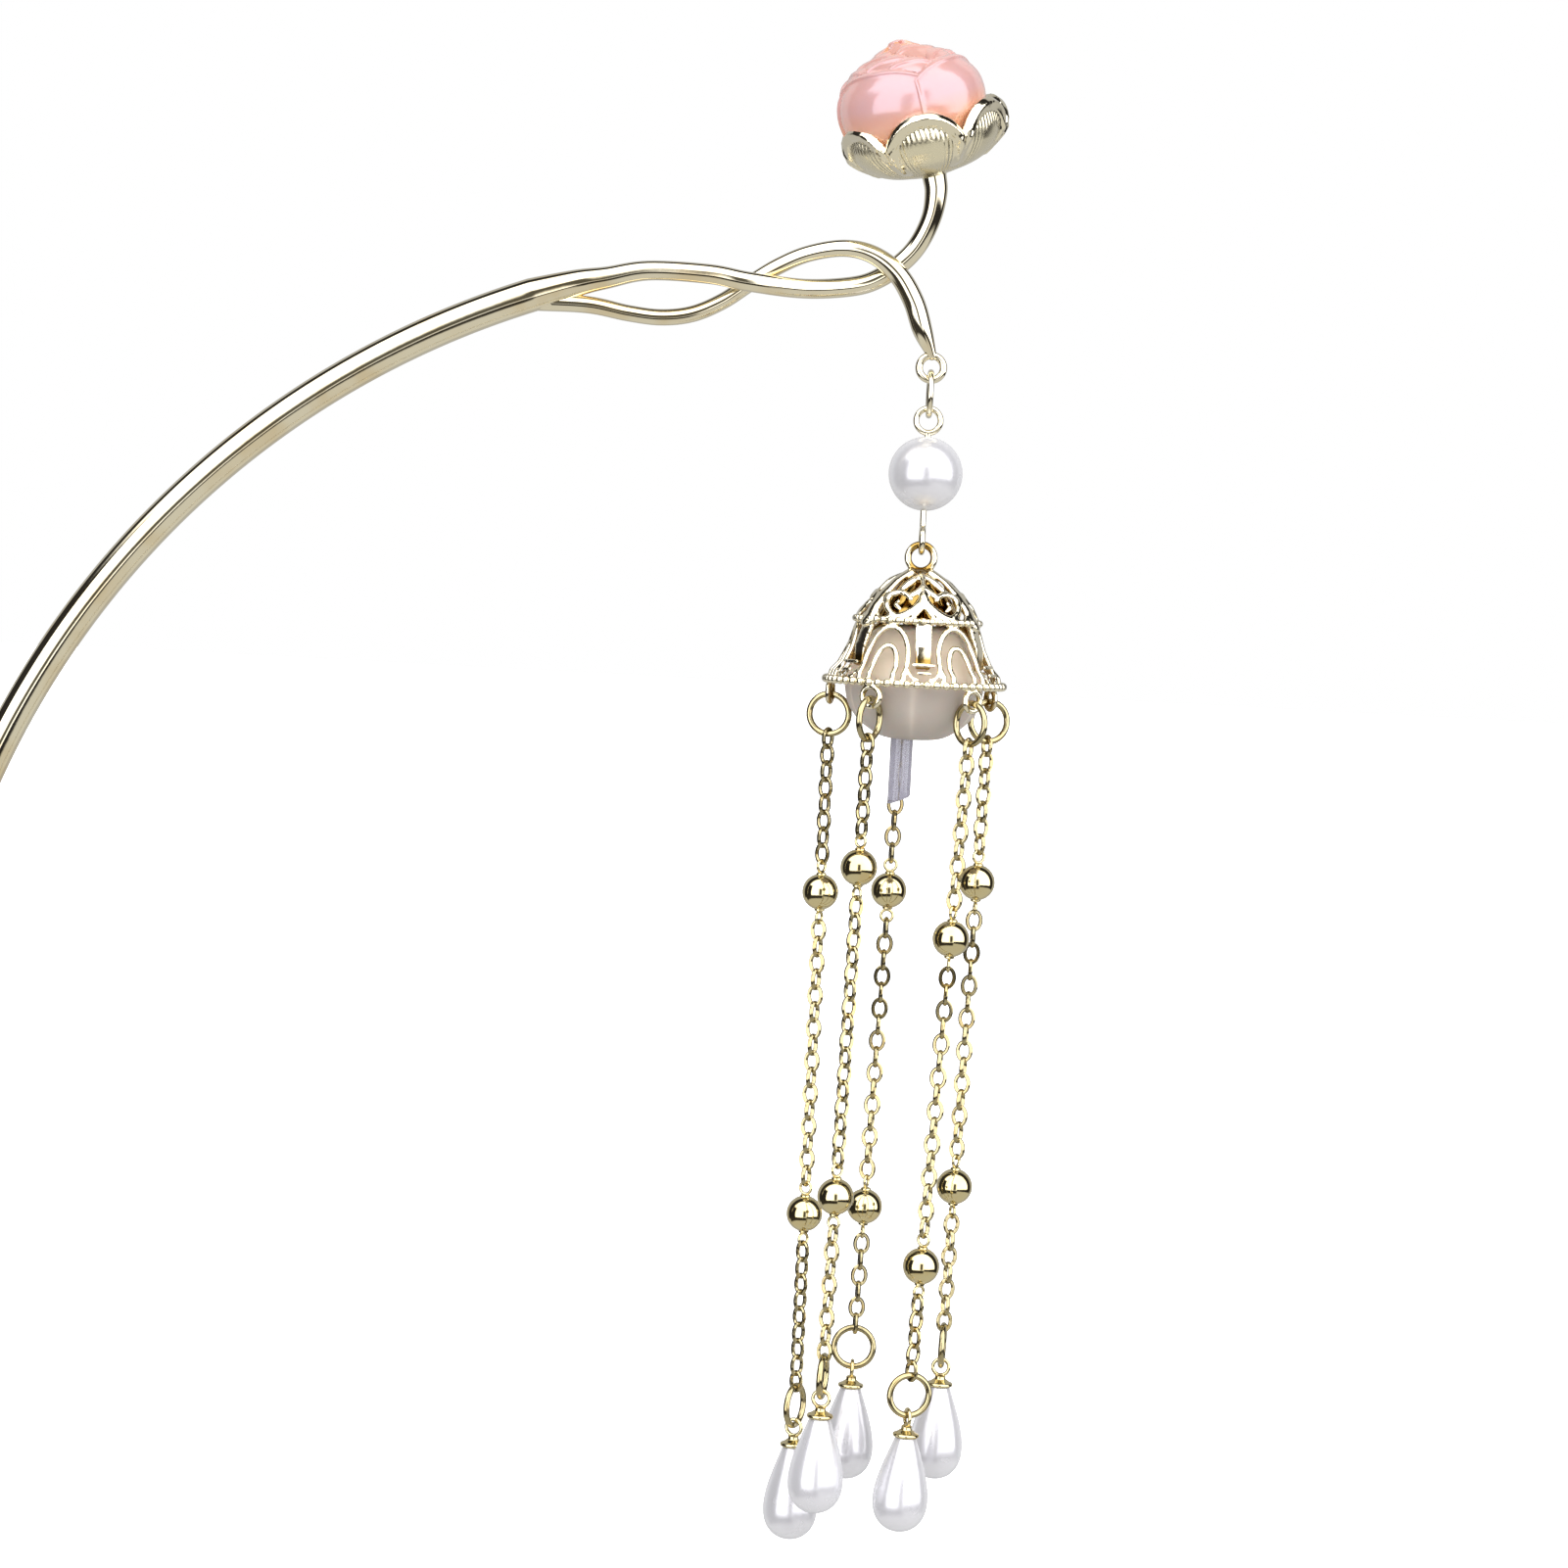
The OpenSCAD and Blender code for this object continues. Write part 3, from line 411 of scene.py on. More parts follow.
def length(name, description, millimetres):
    """A size that the user can change."""
    return FloatProperty(
        name=name, description=description, default=millimetres * MM, unit="LENGTH", precision=5
    )


def slope(name, description, degrees):
    """An angle that the user can change."""
    return FloatProperty(
        name=name, description=description, default=math.radians(degrees), unit="ROTATION"
    )


def share(name, description, value, highest=1.0):
    """A factor that the user can change."""
    return FloatProperty(
        name=name, description=description, default=value, min=0.0, max=highest, subtype="FACTOR"
    )


def colour(name, description, value):
    """A colour that the user can change."""
    return FloatVectorProperty(
        name=name, description=description, default=value, size=3, min=0.0, max=1.0,
        subtype="COLOR"
    )


class PinSizes(bpy.types.PropertyGroup):
    """Sizes of the shaft, the two twisted strands and the hook."""

    curve_r: length("Curve radius", "Radius of the shaft's curve", 95.3)
    shaft_d: length("Shaft thickness", "Thickness of the shaft", 3.6)
    grip_slope: slope("Slope", "Slope of the shaft where the hair grips it", 54)
    grip_to_split: length("Grip to split", "Length from the grip to the split", 58.2)
    grip_to_tip: length("Grip to tip", "Length from the grip to the tip", 62)
    point_len: length("Point length", "Length of the tapered point", 24)
    tip_d: length("Tip thickness", "Thickness of the shaft at its tip", 1.8)
    root_len: length("Root length", "Length of a strand inside the shaft", 1.5)
    twist_len: length("Twist length", "Length of the twist, from the split to the hook's eye", 41.5)
    twist_h: length("Twist height", "Height that the strands' tables are measured in", 6)
    twist_depth: length("Twist depth", "Distance of the strands from the middle plane", 0.85)
    stem_d: length("Stem thickness", "Thickness of the strand that carries the bud", 2.1)
    hook_d: length("Hook thickness", "Thickness of the strand that ends in the hook", 1.75)
    hook_drop: length("Hook drop", "Depth of the hook's eye under the split", 6)
    hook_hole_d: length("Eye hole", "Hole of the hook's eye", 1.8)
    hook_wire_d: length("Eye wire", "Wire of the hook's eye", 0.8)


class BudSizes(bpy.types.PropertyGroup):
    """Sizes of the bud and the calyx."""

    bud_r: length("Bud radius", "Largest radius of the bud", 7.9)
    bud_h: length("Bud height", "Height of the bud over its seat", 15.4)
    bud_shift: length("Bud shift", "Shift of the bud's body to the left of its foot", 0.8)
    bud_sink: length("Bud sink", "Depth of the top under the packed one", 0.7)
    petal_t: length("Petal thickness", "Depth of the step at a petal's edge", 0.7)
    petal_bulge: length("Petal bulge", "Height of a petal's middle over its sides", 0.45)
    petal_lip: length("Petal lip", "Height of the rolled lip along a petal's edge", 0.36)
    tilt: slope("Bud tilt", "Tilt of the bud to the left", 16)
    nod: slope("Bud nod", "Nod of the bud away from the viewer", 8)
    sepals: IntProperty(name="Sepals", description="Number of sepals", default=6, min=4, max=8)
    calyx_r: length("Calyx radius", "Largest radius of the calyx", 8.9)
    calyx_h: length("Calyx height", "Height of the calyx", 6.7)
    calyx_turn: slope("Calyx turn", "Direction of the front sepal", -5)
    sepal_t: length("Sepal thickness", "Thickness of a sepal's wall", 0.6)
    sepal_rim_d: length("Sepal rim", "Thickness of a sepal's rolled rim", 1.5)
    rim_lean: slope("Rim lean", "Lean of a rim's ridge outwards", 7)
    rim_depth: length("Rim depth", "Depth of a rim's middle in the sepal's face", 0.05)
    sepal_bulge: length("Sepal bulge", "Bulge of a sepal's middle", 0.25)
    calyx_grain: length("Calyx grain", "Size of the mesh that fuses the calyx", 0.14)


class LinkSizes(bpy.types.PropertyGroup):
    """Sizes of the rings, wires, pearl and chains."""

    hook_ring_d: length("Hook ring", "Diameter of the ring in the hook", 4.6)
    hook_ring_wire_d: length("Hook ring wire", "Wire of the ring in the hook", 0.65)
    pearl_d: length("Pearl", "Diameter of the round pearl", 7.9)
    pearl_wire_d: length("Pearl wire", "Wire through the pearl", 0.65)
    pearl_eye_d: length("Pearl eyes", "Diameter of the eyes at the pearl", 2.6)
    pearl_neck: length("Pearl neck", "Wire between the pearl and its lower eye", 1.5)
    ring_d: length("Strand ring", "Diameter of a strand's rings", 4.2)
    ring_wire_d: length("Strand ring wire", "Wire of a strand's rings", 0.6)
    ring_look_d: length("Ring diameter", "Diameter of the plated ring", 4.32)
    ring_look_wire_d: length("Ring wire", "Wire of the plated ring", 0.7)
    link_len: length("Link pitch length", "Length of a link in the frame", 2.18)
    link_wire_d: length("Link pitch wire", "Wire of a link in the frame", 0.3)
    oval_len: length("Link length", "Length of a link on its wire's centre line", 2.06)
    oval_w: length("Link width", "Width of a link on its wire's centre line", 1.46)
    oval_t: length("Link wire height", "Thickness of a link's wire in its plane", 0.45)
    oval_depth: length("Link wire depth", "Thickness of a link's wire across its plane", 0.5)
    ball_d: length("Ball", "Diameter of a ball on a chain", 3.9)
    frame_ball_d: length("Ball in the frame", "Diameter of a ball in the frame", 3.8)
    ball_neck_d: length("Ball neck", "Diameter of a ball's necks", 1.1)
    ball_neck_h: length("Ball neck height", "Height of a ball's necks", 0.25)
    ball_eye_d: length("Ball eyes", "Diameter of a ball's eyes", 1.3)
    gap: length("Hanging gap", "Gap between two pieces that hang in each other", 0.1)
    seat: length("Seat gap", "Gap between two pieces that are seated on each other", 0.08)


class CapSizes(bpy.types.PropertyGroup):
    """Sizes of the pierced cap, the flower and the rod."""

    ring_d: length("Top ring", "Diameter of the cap's ring", 2.8)
    ring_wire_d: length("Top ring wire", "Wire of the cap's ring", 0.8)
    ring_sink: length("Top ring sink", "Depth of the ring in the crown", 0.25)
    crown_r: length("Crown radius", "Radius of the crown", 6.4)
    crown_h: length("Crown height", "Height of the crown", 5.2)
    cap_r: length("Cap radius", "Radius of the lower rim", 9.25)
    skirt_h: length("Skirt height", "Height of the skirt", 6.6)
    wall: length("Wall", "Thickness of the casting's bands", 0.55)
    turn: slope("Cap turn", "Direction of the front plate", 4.4)
    bays: IntProperty(name="Bays", description="Number of arched bays", default=6, min=4, max=8)
    arch_w: length("Arch width", "Width of an outer arch", 5.6)
    arch_h: length("Arch height", "Height of an outer arch", 4.9)
    arch_foot: share("Arch foot", "Depth of the arches' feet in the skirt", 0.8)
    arch_band: length("Arch band", "Thickness of an arch", 0.66)
    inner_arch: share("Inner arch", "Size of the inner arch to the outer one", 0.6)
    plate_w: length("Plate width", "Width of a plate", 1.8)
    plate_curl: length("Plate curl", "Depth that a plate's foot curls inwards", 0.8)
    scroll_w: length("Scroll width", "Size that the crown's scrolls are measured in", 1.3)
    bead_d: length("Rim bead", "Diameter of the lower rim's beads", 0.92)
    upper_bead_d: length("Upper rim bead", "Diameter of the upper rim's beads", 0.78)
    ear_ring_r: length("Ear circle", "Radius at which the ears stand", 9.15)
    ear_d: length("Ear", "Diameter of an ear", 2.1)
    ear_wire_d: length("Ear wire", "Wire of an ear", 0.7)
    ear_sink: length("Ear sink", "Depth of an ear in the lower rim", 0.3)
    lower_rim_d: length("Lower rim", "Thickness of the lower rim in the frame", 0.8)
    grain: length("Cap grain", "Size of the mesh that fuses the cap", 0.145)
    first_strand: slope("First strand", "Direction of the first strand", -31)
    flower_r: length("Flower radius", "Radius of the flower", 7.4)
    flower_h: length("Flower height", "Height of the flower", 12.4)
    flower_drop: length("Flower drop", "Depth of the flower's top in the cap", 5.6)
    rod_d: length("Rod", "Diameter of the rod", 2.4)
    pin_len: length("Inner pin", "Length of the pin inside the cap", 17)
    rod_shift: length("Rod shift", "Distance of the rod from the cap's axis", 1)


class TeardropSizes(bpy.types.PropertyGroup):
    """Sizes of the teardrops and their caps."""

    drop_d: length("Width", "Width of a teardrop", 5.9)
    drop_len: length("Length", "Length of a teardrop", 10.1)
    drop_top: slope("Cut top", "Angle of the outline at which the top is cut", 66)
    drop_slimness: share("Slimness", "How slim a teardrop's shoulder is", 2.2, 4)
    flange_d: length("Flange", "Width of a teardrop's flange", 2.85)
    flange_t: length("Flange thickness", "Thickness of the flange", 0.45)
    neck_h: length("Neck height", "Height of the neck under the eye", 0.75)
    neck_d: length("Neck", "Diameter of the neck", 1.1)
    eye_d: length("Eye", "Diameter of the eye", 1.75)
    eye_wire_d: length("Eye wire", "Wire of the eye", 0.42)


class Finishes(bpy.types.PropertyGroup):
    """Colours of the finishes."""

    pale_gold: colour("Pale gold", "Polished champagne plate", (0.84, 0.77, 0.58))
    pale_gold_deep: colour("Pale gold, deep", "Plate in hollows", (0.66, 0.43, 0.12))
    satin_gold: colour("Satin gold", "Brushed faces of the calyx", (0.84, 0.77, 0.56))
    # Darker, yellower gold painted as shade inside the cap
    hollow_shade_gold: colour("Hollow shade gold", "The inside of the cap", (0.36, 0.23, 0.06))
    yellow_gold: colour("Yellow gold", "Plate on wire and chains", (0.67, 0.58, 0.33))
    # A darker copy of the yellow gold, painting the shade on the chains' thin wires
    shaded_chain_gold: colour("Shaded chain gold", "Plate on the chains", (0.43, 0.37, 0.21))
    petal: colour("Petal pink", "The bud's petals", (0.82, 0.49, 0.46))
    # Orange for the warm foot, for the painted shade in the grooves and between petals, and for the
    # painted glow at the edges
    petal_orange_and_shade: colour("Petal orange", "The bud's grooves and foot", (1.0, 0.5, 0.27))
    pearl: colour("Pearl", "The pearl and the teardrops", (0.82, 0.81, 0.85))
    # A painted rim light, paler where the pearl turns away
    pearl_edge: colour("Pearl edge", "The pearl where it turns away", (0.97, 0.97, 0.99))
    frosted: colour("Frosted", "The flower", (0.47, 0.42, 0.37))
    frosted_pale: colour("Frosted, pale", "The flower's seams", (0.7, 0.62, 0.54))
    # A painted warm light, bounced from the gold cap onto the flower inside it
    frosted_gold_bounce: colour("Frosted, warm", "The flower inside the cap", (0.95, 0.8, 0.63))
    rod_tint: colour("Rod tint", "The clear rod", (0.5, 0.48, 0.6))


class StageSettings(bpy.types.PropertyGroup):
    """The camera, the floor and the light."""

    frame_w: length("Frame width", "Width of the picture at the object", 168.1)
    distance: length("Distance", "Distance of the camera", 425)
    tilt: slope("Tilt", "Height of the camera's view over level", 3)
    roll: slope("Roll", "Roll of the camera", 3)
    floor_z: length("Floor", "Height of the floor", -115)
    key: FloatProperty(name="Key light", description="Strength of the large front light", default=3.0)


GROUPS = {
    "pin": PinSizes,
    "bud": BudSizes,
    "link": LinkSizes,
    "cap": CapSizes,
    "teardrop": TeardropSizes,
    "finish": Finishes,
    "stage": StageSettings,
}


def sizes(group):
    """The property group that holds one kind of settings."""
    return getattr(bpy.context.scene, "hairpin_" + group)


# Shapes: pairs of a point array and a list of faces


def rows_to_faces(rows, sides, closed=False):
    """Quads over rows of points that each run once round a section."""
    row = np.arange(rows if closed else rows - 1)[:, None]
    side = np.arange(sides)[None, :]
    here = row * sides + side
    turned = row * sides + (side + 1) % sides
    above = (row + 1) % rows * sides + side
    above_turned = (row + 1) % rows * sides + (side + 1) % sides
    return np.stack([here, turned, above_turned, above], -1).reshape(-1, 4).tolist()


def skin(rings, first_pole=None, last_pole=None, closed=False):
    """A skin over rings of points, closed by a pole at an end where one is given."""
    rows, around, _ = rings.shape
    points = rings.reshape(-1, 3)
    faces = rows_to_faces(rows, around, closed)
    for pole, start in ((first_pole, 0), (last_pole, (rows - 1) * around)):
        if pole is not None:
            tip = len(points)
            points = np.vstack([points, [pole]])
            faces += [[tip, start + (k + 1) % around, start + k] for k in range(around)]
    return points, faces


def joined(shapes):
    """Several shapes as one."""
    points = []
    faces = []
    start = 0
    for shape_points, shape_faces in shapes:
        points.append(shape_points)
        faces += [[start + corner for corner in face] for face in shape_faces]
        start += len(shape_points)
    return np.vstack(points), faces


def moved(shape, matrix):
    """A shape under a matrix."""
    points, faces = shape
    turn = np.array(matrix.to_3x3())
    return points @ turn.T + np.array(matrix.translation), faces


def spline(rows, steps=6):
    """A smooth curve through rows of numbers."""
    rows = np.asarray(rows, float)
    padded = np.vstack([2 * rows[0] - rows[1], rows, 2 * rows[-1] - rows[-2]])
    result = []
    for i in range(len(rows) - 1):
        a, b, c, d = padded[i:i + 4]
        for t in np.arange(steps) / steps:
            result.append((2 * b + (c - a) * t + (2 * a - 5 * b + 4 * c - d) * t ** 2
                           + (3 * b - a - 3 * c + d) * t ** 3) / 2)
    result.append(rows[-1])
    return np.array(result)


def unit(vectors):
    """Vectors of length one."""
    return vectors / np.linalg.norm(vectors, axis=-1, keepdims=True)


def ramp(value, start, reach):
    """A ramp from 0 at start to 1 at a reach beyond it, level on both sides."""
    return np.clip((value - start) / reach, 0, 1)


def eased(step):
    """A step from 0 to 1 with soft ends."""
    return step ** 2 * (3 - 2 * step)


def angles_round(steps):
    """Even angles once round."""
    return 2 * math.pi * np.arange(steps) / steps


def tube(path, radius, across, sides=16, closed=False, flat=1.0):
    """A tube along a path with rounded ends. Its section is flat times as thick along across."""
    path = np.asarray(path, float)
    radius = np.broadcast_to(np.asarray(radius, float), (len(path),))
    if closed:
        along = unit(np.roll(path, -1, 0) - np.roll(path, 1, 0))
    else:
        along = unit(np.gradient(path, axis=0))
    across = np.broadcast_to(np.asarray(across, float), path.shape)
    across = unit(across - (across * along).sum(1, keepdims=True) * along)
    beside = np.cross(along, across)
    turns = angles_round(sides)
    section = (np.cos(turns)[None, :, None] * across[:, None] * flat
               + np.sin(turns)[None, :, None] * beside[:, None])
    rings = path[:, None] + radius[:, None, None] * section
    if closed:
        return skin(rings, closed=True)
    rounding = np.radians((22.5, 45, 67.5))
    first, last = (
        [path[end] + radius[end] * (sign * math.sin(a) * along[end] + math.cos(a) * section[end])
         for a in rounding]
        for end, sign in ((0, -1), (-1, 1))
    )
    rings = np.concatenate([first[::-1], rings, last])
    return skin(rings, path[0] - radius[0] * along[0], path[-1] + radius[-1] * along[-1])


def circle(centre, radius, first, second, steps):
    """Points round a circle, from the direction first towards second."""
    turns = angles_round(steps)[:, None]
    return np.asarray(centre) + radius * (np.cos(turns) * first + np.sin(turns) * second)


def wire_ring(height, diameter, wire_d, turn=0.0, steps=48, sides=14):
    """An upright ring of wire on the axis at a height, with its plane turned from X."""
    plane = math.cos(turn) * RIGHT + math.sin(turn) * BACK
    path = circle(height * UP, diameter / 2, plane, UP, steps)
    return tube(path, wire_d / 2, np.cross(plane, UP), sides, closed=True)


def lathe(outline, sides=48):
    """An outline of radius and height turned about Z. A radius of 0 at an end is a pole."""
    outline = np.asarray(outline, float)
    poles = [(0, 0, height) if radius == 0 else None for radius, height in outline[[0, -1]]]
    outline = outline[outline[:, 0] > 0]
    turns = angles_round(sides)
    rings = np.empty((len(outline), sides, 3))
    rings[..., 0] = outline[:, :1] * np.cos(turns)
    rings[..., 1] = outline[:, :1] * np.sin(turns)
    rings[..., 2] = outline[:, 1:]
    return skin(rings, *poles)


def arc(centre, radius, start, stop, steps=6):
    """Points of radius and height along an arc, with angles in degrees."""
    return [(centre[0] + radius * math.cos(a), centre[1] + radius * math.sin(a))
            for a in np.radians(np.linspace(start, stop, steps))]


def turned_piece(rows):
    """A turned piece of a casting, from its rows in millimetres."""
    return lathe(np.multiply(rows, MM))


# Objects


def mesh_object(name, shape):
    """A smooth mesh object with its faces turned outwards."""
    points, faces = shape
    mesh = bpy.data.meshes.new(name)
    mesh.from_pydata(points.tolist(), [], faces)
    work = bmesh.new()
    work.from_mesh(mesh)
    bmesh.ops.recalc_face_normals(work, faces=work.faces)
    work.to_mesh(mesh)
    work.free()
    mesh.shade_smooth()
    piece = bpy.data.objects.new(name, mesh)
    bpy.context.collection.objects.link(piece)
    return piece


def settle(piece):
    """Applies a piece's modifiers."""
    evaluated = piece.evaluated_get(bpy.context.evaluated_depsgraph_get())
    mesh = bpy.data.meshes.new_from_object(evaluated)
    piece.modifiers.clear()
    old = piece.data
    piece.data = mesh
    mesh.name = piece.name
    bpy.data.meshes.remove(old)
    return piece


def united(name, shapes):
    """Closed shapes united into one solid."""
    pieces = [mesh_object(name if i == 0 else f"{name}_{i}", shape)
              for i, shape in enumerate(shapes)]
    for other in pieces[1:]:
        union = pieces[0].modifiers.new("Union", "BOOLEAN")
        union.operation = "UNION"
        union.solver = "MANIFOLD"
        union.object = other
    settle(pieces[0])
    for other in pieces[1:]:
        bpy.data.meshes.remove(other.data)
    pieces[0].data.shade_smooth()
    return pieces[0]


def fused(name, shape, grain):
    """Shapes that overlap, fused as one casting whose mesh has the given grain."""
    points, faces = shape
    piece = mesh_object(name, (points / MM, faces))
    remesh = piece.modifiers.new("Fuse", "REMESH")
    remesh.mode = "VOXEL"
    remesh.voxel_size = grain / MM
    remesh.use_smooth_shade = True
    soften = piece.modifiers.new("Soften", "SMOOTH")
    soften.factor = 0.5
    soften.iterations = 2
    settle(piece)
    piece.data.transform(Matrix.Scale(MM, 4))
    return piece


def dress(piece, finish, body, slot, *nodes):
    """Gives a piece its finish and body, and hides the nodes that it stands for."""
    piece.data.materials.clear()
    piece.data.materials.append(finished(finish))
    piece.data.set_sharp_from_angle(angle=SHARP_EDGE)
    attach(piece, body)
    if nodes:
        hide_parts(*nodes)


def coordinates(mesh):
    """A mesh's points as an array."""
    flat = np.empty(len(mesh.vertices) * 3)
    mesh.vertices.foreach_get("co", flat)
    return flat.reshape(-1, 3)


def paint(mesh, name, values):
    """Stores one number for each point of a mesh."""
    attribute = mesh.attributes.new(name, "FLOAT", "POINT")
    attribute.data.foreach_set("value", np.asarray(values, dtype=np.float32))


# Places, worked out as the frame does


def shaft_point(distance):
    """The point of the shaft's centre line at a distance from the grip towards the tip."""
    s = sizes("pin")
    start = math.pi / 2 + s.grip_slope
    angle = start + distance / s.curve_r
    across = math.cos(angle) - math.cos(start)
    rise = math.sin(angle) - math.sin(start)
    return s.curve_r * np.array([across, 0, rise])


def twist_point(row):
    """A point of a strand's table."""
    s = sizes("pin")
    return shaft_point(-s.grip_to_split) + np.array(
        [row[0] * s.twist_len, row[1] * s.twist_depth, row[2] * s.twist_h]
    )


def hook_eye():
    """The middle of the hook's eye."""
    s = sizes("pin")
    return shaft_point(-s.grip_to_split) + np.array([s.twist_len, 0, -s.hook_drop])


def bud_frame():
    """The place of the bud's seat: its foot is at the origin, and its axis is Z."""
    s = sizes("bud")
    return (Matrix.Translation(Vector(twist_point(STEM_ROWS[-1])))
            @ Matrix.Rotation(-s.tilt, 4, "Y") @ Matrix.Rotation(s.nod, 4, "X"))


def hung(z, wire_above_d, wire_d):
    """Height of the wire at the top of what hangs on a wire at z."""
    return z + wire_above_d / 2 + wire_d / 2 + sizes("link").gap


def heights():
    """Heights of the pieces under the hook's eye."""
    p = sizes("pin")
    s = sizes("link")
    c = sizes("cap")
    eye_r = (p.hook_hole_d + p.hook_wire_d) / 2
    ring = hung(hook_eye()[2] - eye_r, p.hook_wire_d, s.hook_ring_wire_d) - s.hook_ring_d / 2
    upper_eye = hung(ring - s.hook_ring_d / 2, s.hook_ring_wire_d, s.pearl_wire_d) - s.pearl_eye_d / 2
    pearl = upper_eye - s.pearl_eye_d / 2 - s.pearl_wire_d / 2 - s.seat - s.pearl_d / 2
    lower_eye = pearl - s.pearl_d / 2 - s.pearl_neck - s.pearl_wire_d / 2 - s.pearl_eye_d / 2
    cap_ring = hung(lower_eye - s.pearl_eye_d / 2, s.pearl_wire_d, c.ring_wire_d) - c.ring_d / 2
    cap_top = cap_ring - c.ring_d / 2 - c.ring_wire_d / 2 + c.ring_sink
    lower_rim = cap_top - c.crown_h - c.skirt_h
    return {
        "hook_ring": ring,
        "upper_eye": upper_eye,
        "pearl": pearl,
        "lower_eye": lower_eye,
        "cap_ring": cap_ring,
        "cap_top": cap_top,
        "lower_rim": lower_rim,
        "ear": lower_rim - c.lower_rim_d / 2 + c.ear_sink - c.ear_wire_d / 2 - c.ear_d / 2,
    }


def hanging(z=0.0):
    """The place of a piece on the drop's axis."""
    return Matrix.Translation((hook_eye()[0], 0, z))


def strand_turn(i):
    """Direction of a strand, from the front towards the right."""
    return sizes("cap").first_strand + 2 * math.pi * i / STRANDS


def strand_frame(i):
    """A strand's own frame: the origin is its ear's middle, and X points outwards."""
    turn = strand_turn(i)
    lean = math.radians(STRAND_ROWS[i][0])
    return (hanging() @ Matrix.Rotation(turn, 4, "Z")
            @ Matrix.Translation((0, -sizes("cap").ear_ring_r, heights()["ear"]))
            @ Matrix.Rotation(-turn, 4, "Z") @ Matrix.Rotation(lean, 4, "Y")
            @ Matrix.Rotation(turn - math.pi / 2, 4, "Z"))


def strand_layout(i):
    """Depths down a strand, the directions of its flat pieces and the places of its links."""
    s = sizes("link")
    c = sizes("cap")
    t = sizes("teardrop")
    _, counts, ring_turn, first_turns, twist = STRAND_ROWS[i]
    outward = strand_turn(i) - math.pi / 2
    pitch = s.link_len - s.link_wire_d - s.gap
    ball_eye = s.frame_ball_d / 2 + s.ball_neck_h + s.ball_eye_d / 2
    links = []

    def stretch(part, z, wire_d, next_wire_d):
        """Adds one stretch of links under a wire, and gives the height of the next wire."""
        top = hung(z, wire_d, s.link_wire_d)
        step = math.pi / 2 + (math.radians(twist) if part == 1 else 0)
        first = math.radians(first_turns[part]) - outward
        for k in range(counts[part]):
            links.append((top - k * pitch - s.link_len / 2, first + k * step))
        next_z = hung(top - (counts[part] - 1) * pitch - s.link_len, s.link_wire_d, next_wire_d)
        return next_z, first - math.pi / 2, first + counts[part] * step

    top_ring = hung(-c.ear_d / 2, c.ear_wire_d, s.ring_wire_d) - s.ring_d / 2
    z, _, upper_eye_turn = stretch(0, top_ring - s.ring_d / 2, s.ring_wire_d, s.link_wire_d)
    upper_ball = z - s.ball_eye_d / 2 - ball_eye
    foot = upper_ball - ball_eye - s.ball_eye_d / 2
    z, upper_foot_turn, lower_eye_turn = stretch(1, foot, s.link_wire_d, s.link_wire_d)
    lower_ball = z - s.ball_eye_d / 2 - ball_eye
    foot = lower_ball - ball_eye - s.ball_eye_d / 2
    z, lower_foot_turn, _ = stretch(2, foot, s.link_wire_d, s.ring_wire_d)
    drop_ring = z - s.ring_d / 2
    eye = hung(drop_ring - s.ring_d / 2, s.ring_wire_d, FRAME_EYE_WIRE_D) - t.eye_d / 2
    return {
        "top_ring": top_ring,
        "balls": ((upper_ball, upper_eye_turn, upper_foot_turn),
                  (lower_ball, lower_eye_turn, lower_foot_turn)),
        "drop_ring": drop_ring,
        "ring_turn": math.radians(ring_turn) - outward,
        "eye": eye,
        "links": links,
    }


# Node trees

# The sockets of a Mix node that take its factor and two colours, and the one that gives one
MIX_INPUTS = (0, 6, 7)
MIX_OUTPUT = 2


class Tree:
    """Adds nodes to a node tree and links them."""

    def __init__(self, tree):
        self.tree = tree

    def feed(self, node, inputs):
        """Gives a node its inputs. Each is a value, or a socket that it is linked from."""
        for name, value in inputs.items():
            if isinstance(value, bpy.types.NodeSocket):
                self.tree.links.new(value, node.inputs[name])
            else:
                node.inputs[name].default_value = value

    def add(self, kind, inputs=None, **settings):
        """Adds a node with its settings and inputs."""
        node = self.tree.nodes.new(kind)
        for name, value in settings.items():
            setattr(node, name, value)
        self.feed(node, inputs or {})
        return node

    def math(self, operation, *values, clamp=False):
        """The output of a Math node."""
        inputs = dict(enumerate(values))
        return self.add("ShaderNodeMath", inputs, operation=operation, use_clamp=clamp).outputs[0]

    def smooth_step(self, value, low, high):
        """A soft step from 0 at low to 1 at high."""
        inputs = {"Value": value, "From Min": low, "From Max": high}
        node = self.add("ShaderNodeMapRange", inputs, interpolation_type="SMOOTHSTEP")
        return node.outputs["Result"]

    def mix(self, factor, first, second, blend_type="MIX"):
        """The output of a colour mix."""
        colours = [c if isinstance(c, bpy.types.NodeSocket) else (*c, 1.0) for c in (first, second)]
        inputs = dict(zip(MIX_INPUTS, (factor, *colours)))
        node = self.add("ShaderNodeMix", inputs, data_type="RGBA", blend_type=blend_type)
        return node.outputs[MIX_OUTPUT]

    def noise(self, scale, detail, **inputs):
        """Soft noise that lies still on the piece."""
        place = self.add("ShaderNodeTexCoord").outputs["Object"]
        inputs = {"Vector": place, "Scale": scale, "Detail": detail, **inputs}
        return self.add("ShaderNodeTexNoise", inputs).outputs["Fac"]

    def painted(self, name):
        """A value that is painted on the mesh."""
        return self.add("ShaderNodeAttribute", attribute_name=name).outputs["Fac"]

    def slant(self, blend):
        """How far the surface turns away from the viewer."""
        return self.add("ShaderNodeLayerWeight", {"Blend": blend}).outputs["Facing"]

    def bump(self, height, distance):
        """A normal from a height."""
        inputs = {"Height": height, "Strength": 1.0, "Distance": distance}
        return self.add("ShaderNodeBump", inputs).outputs["Normal"]


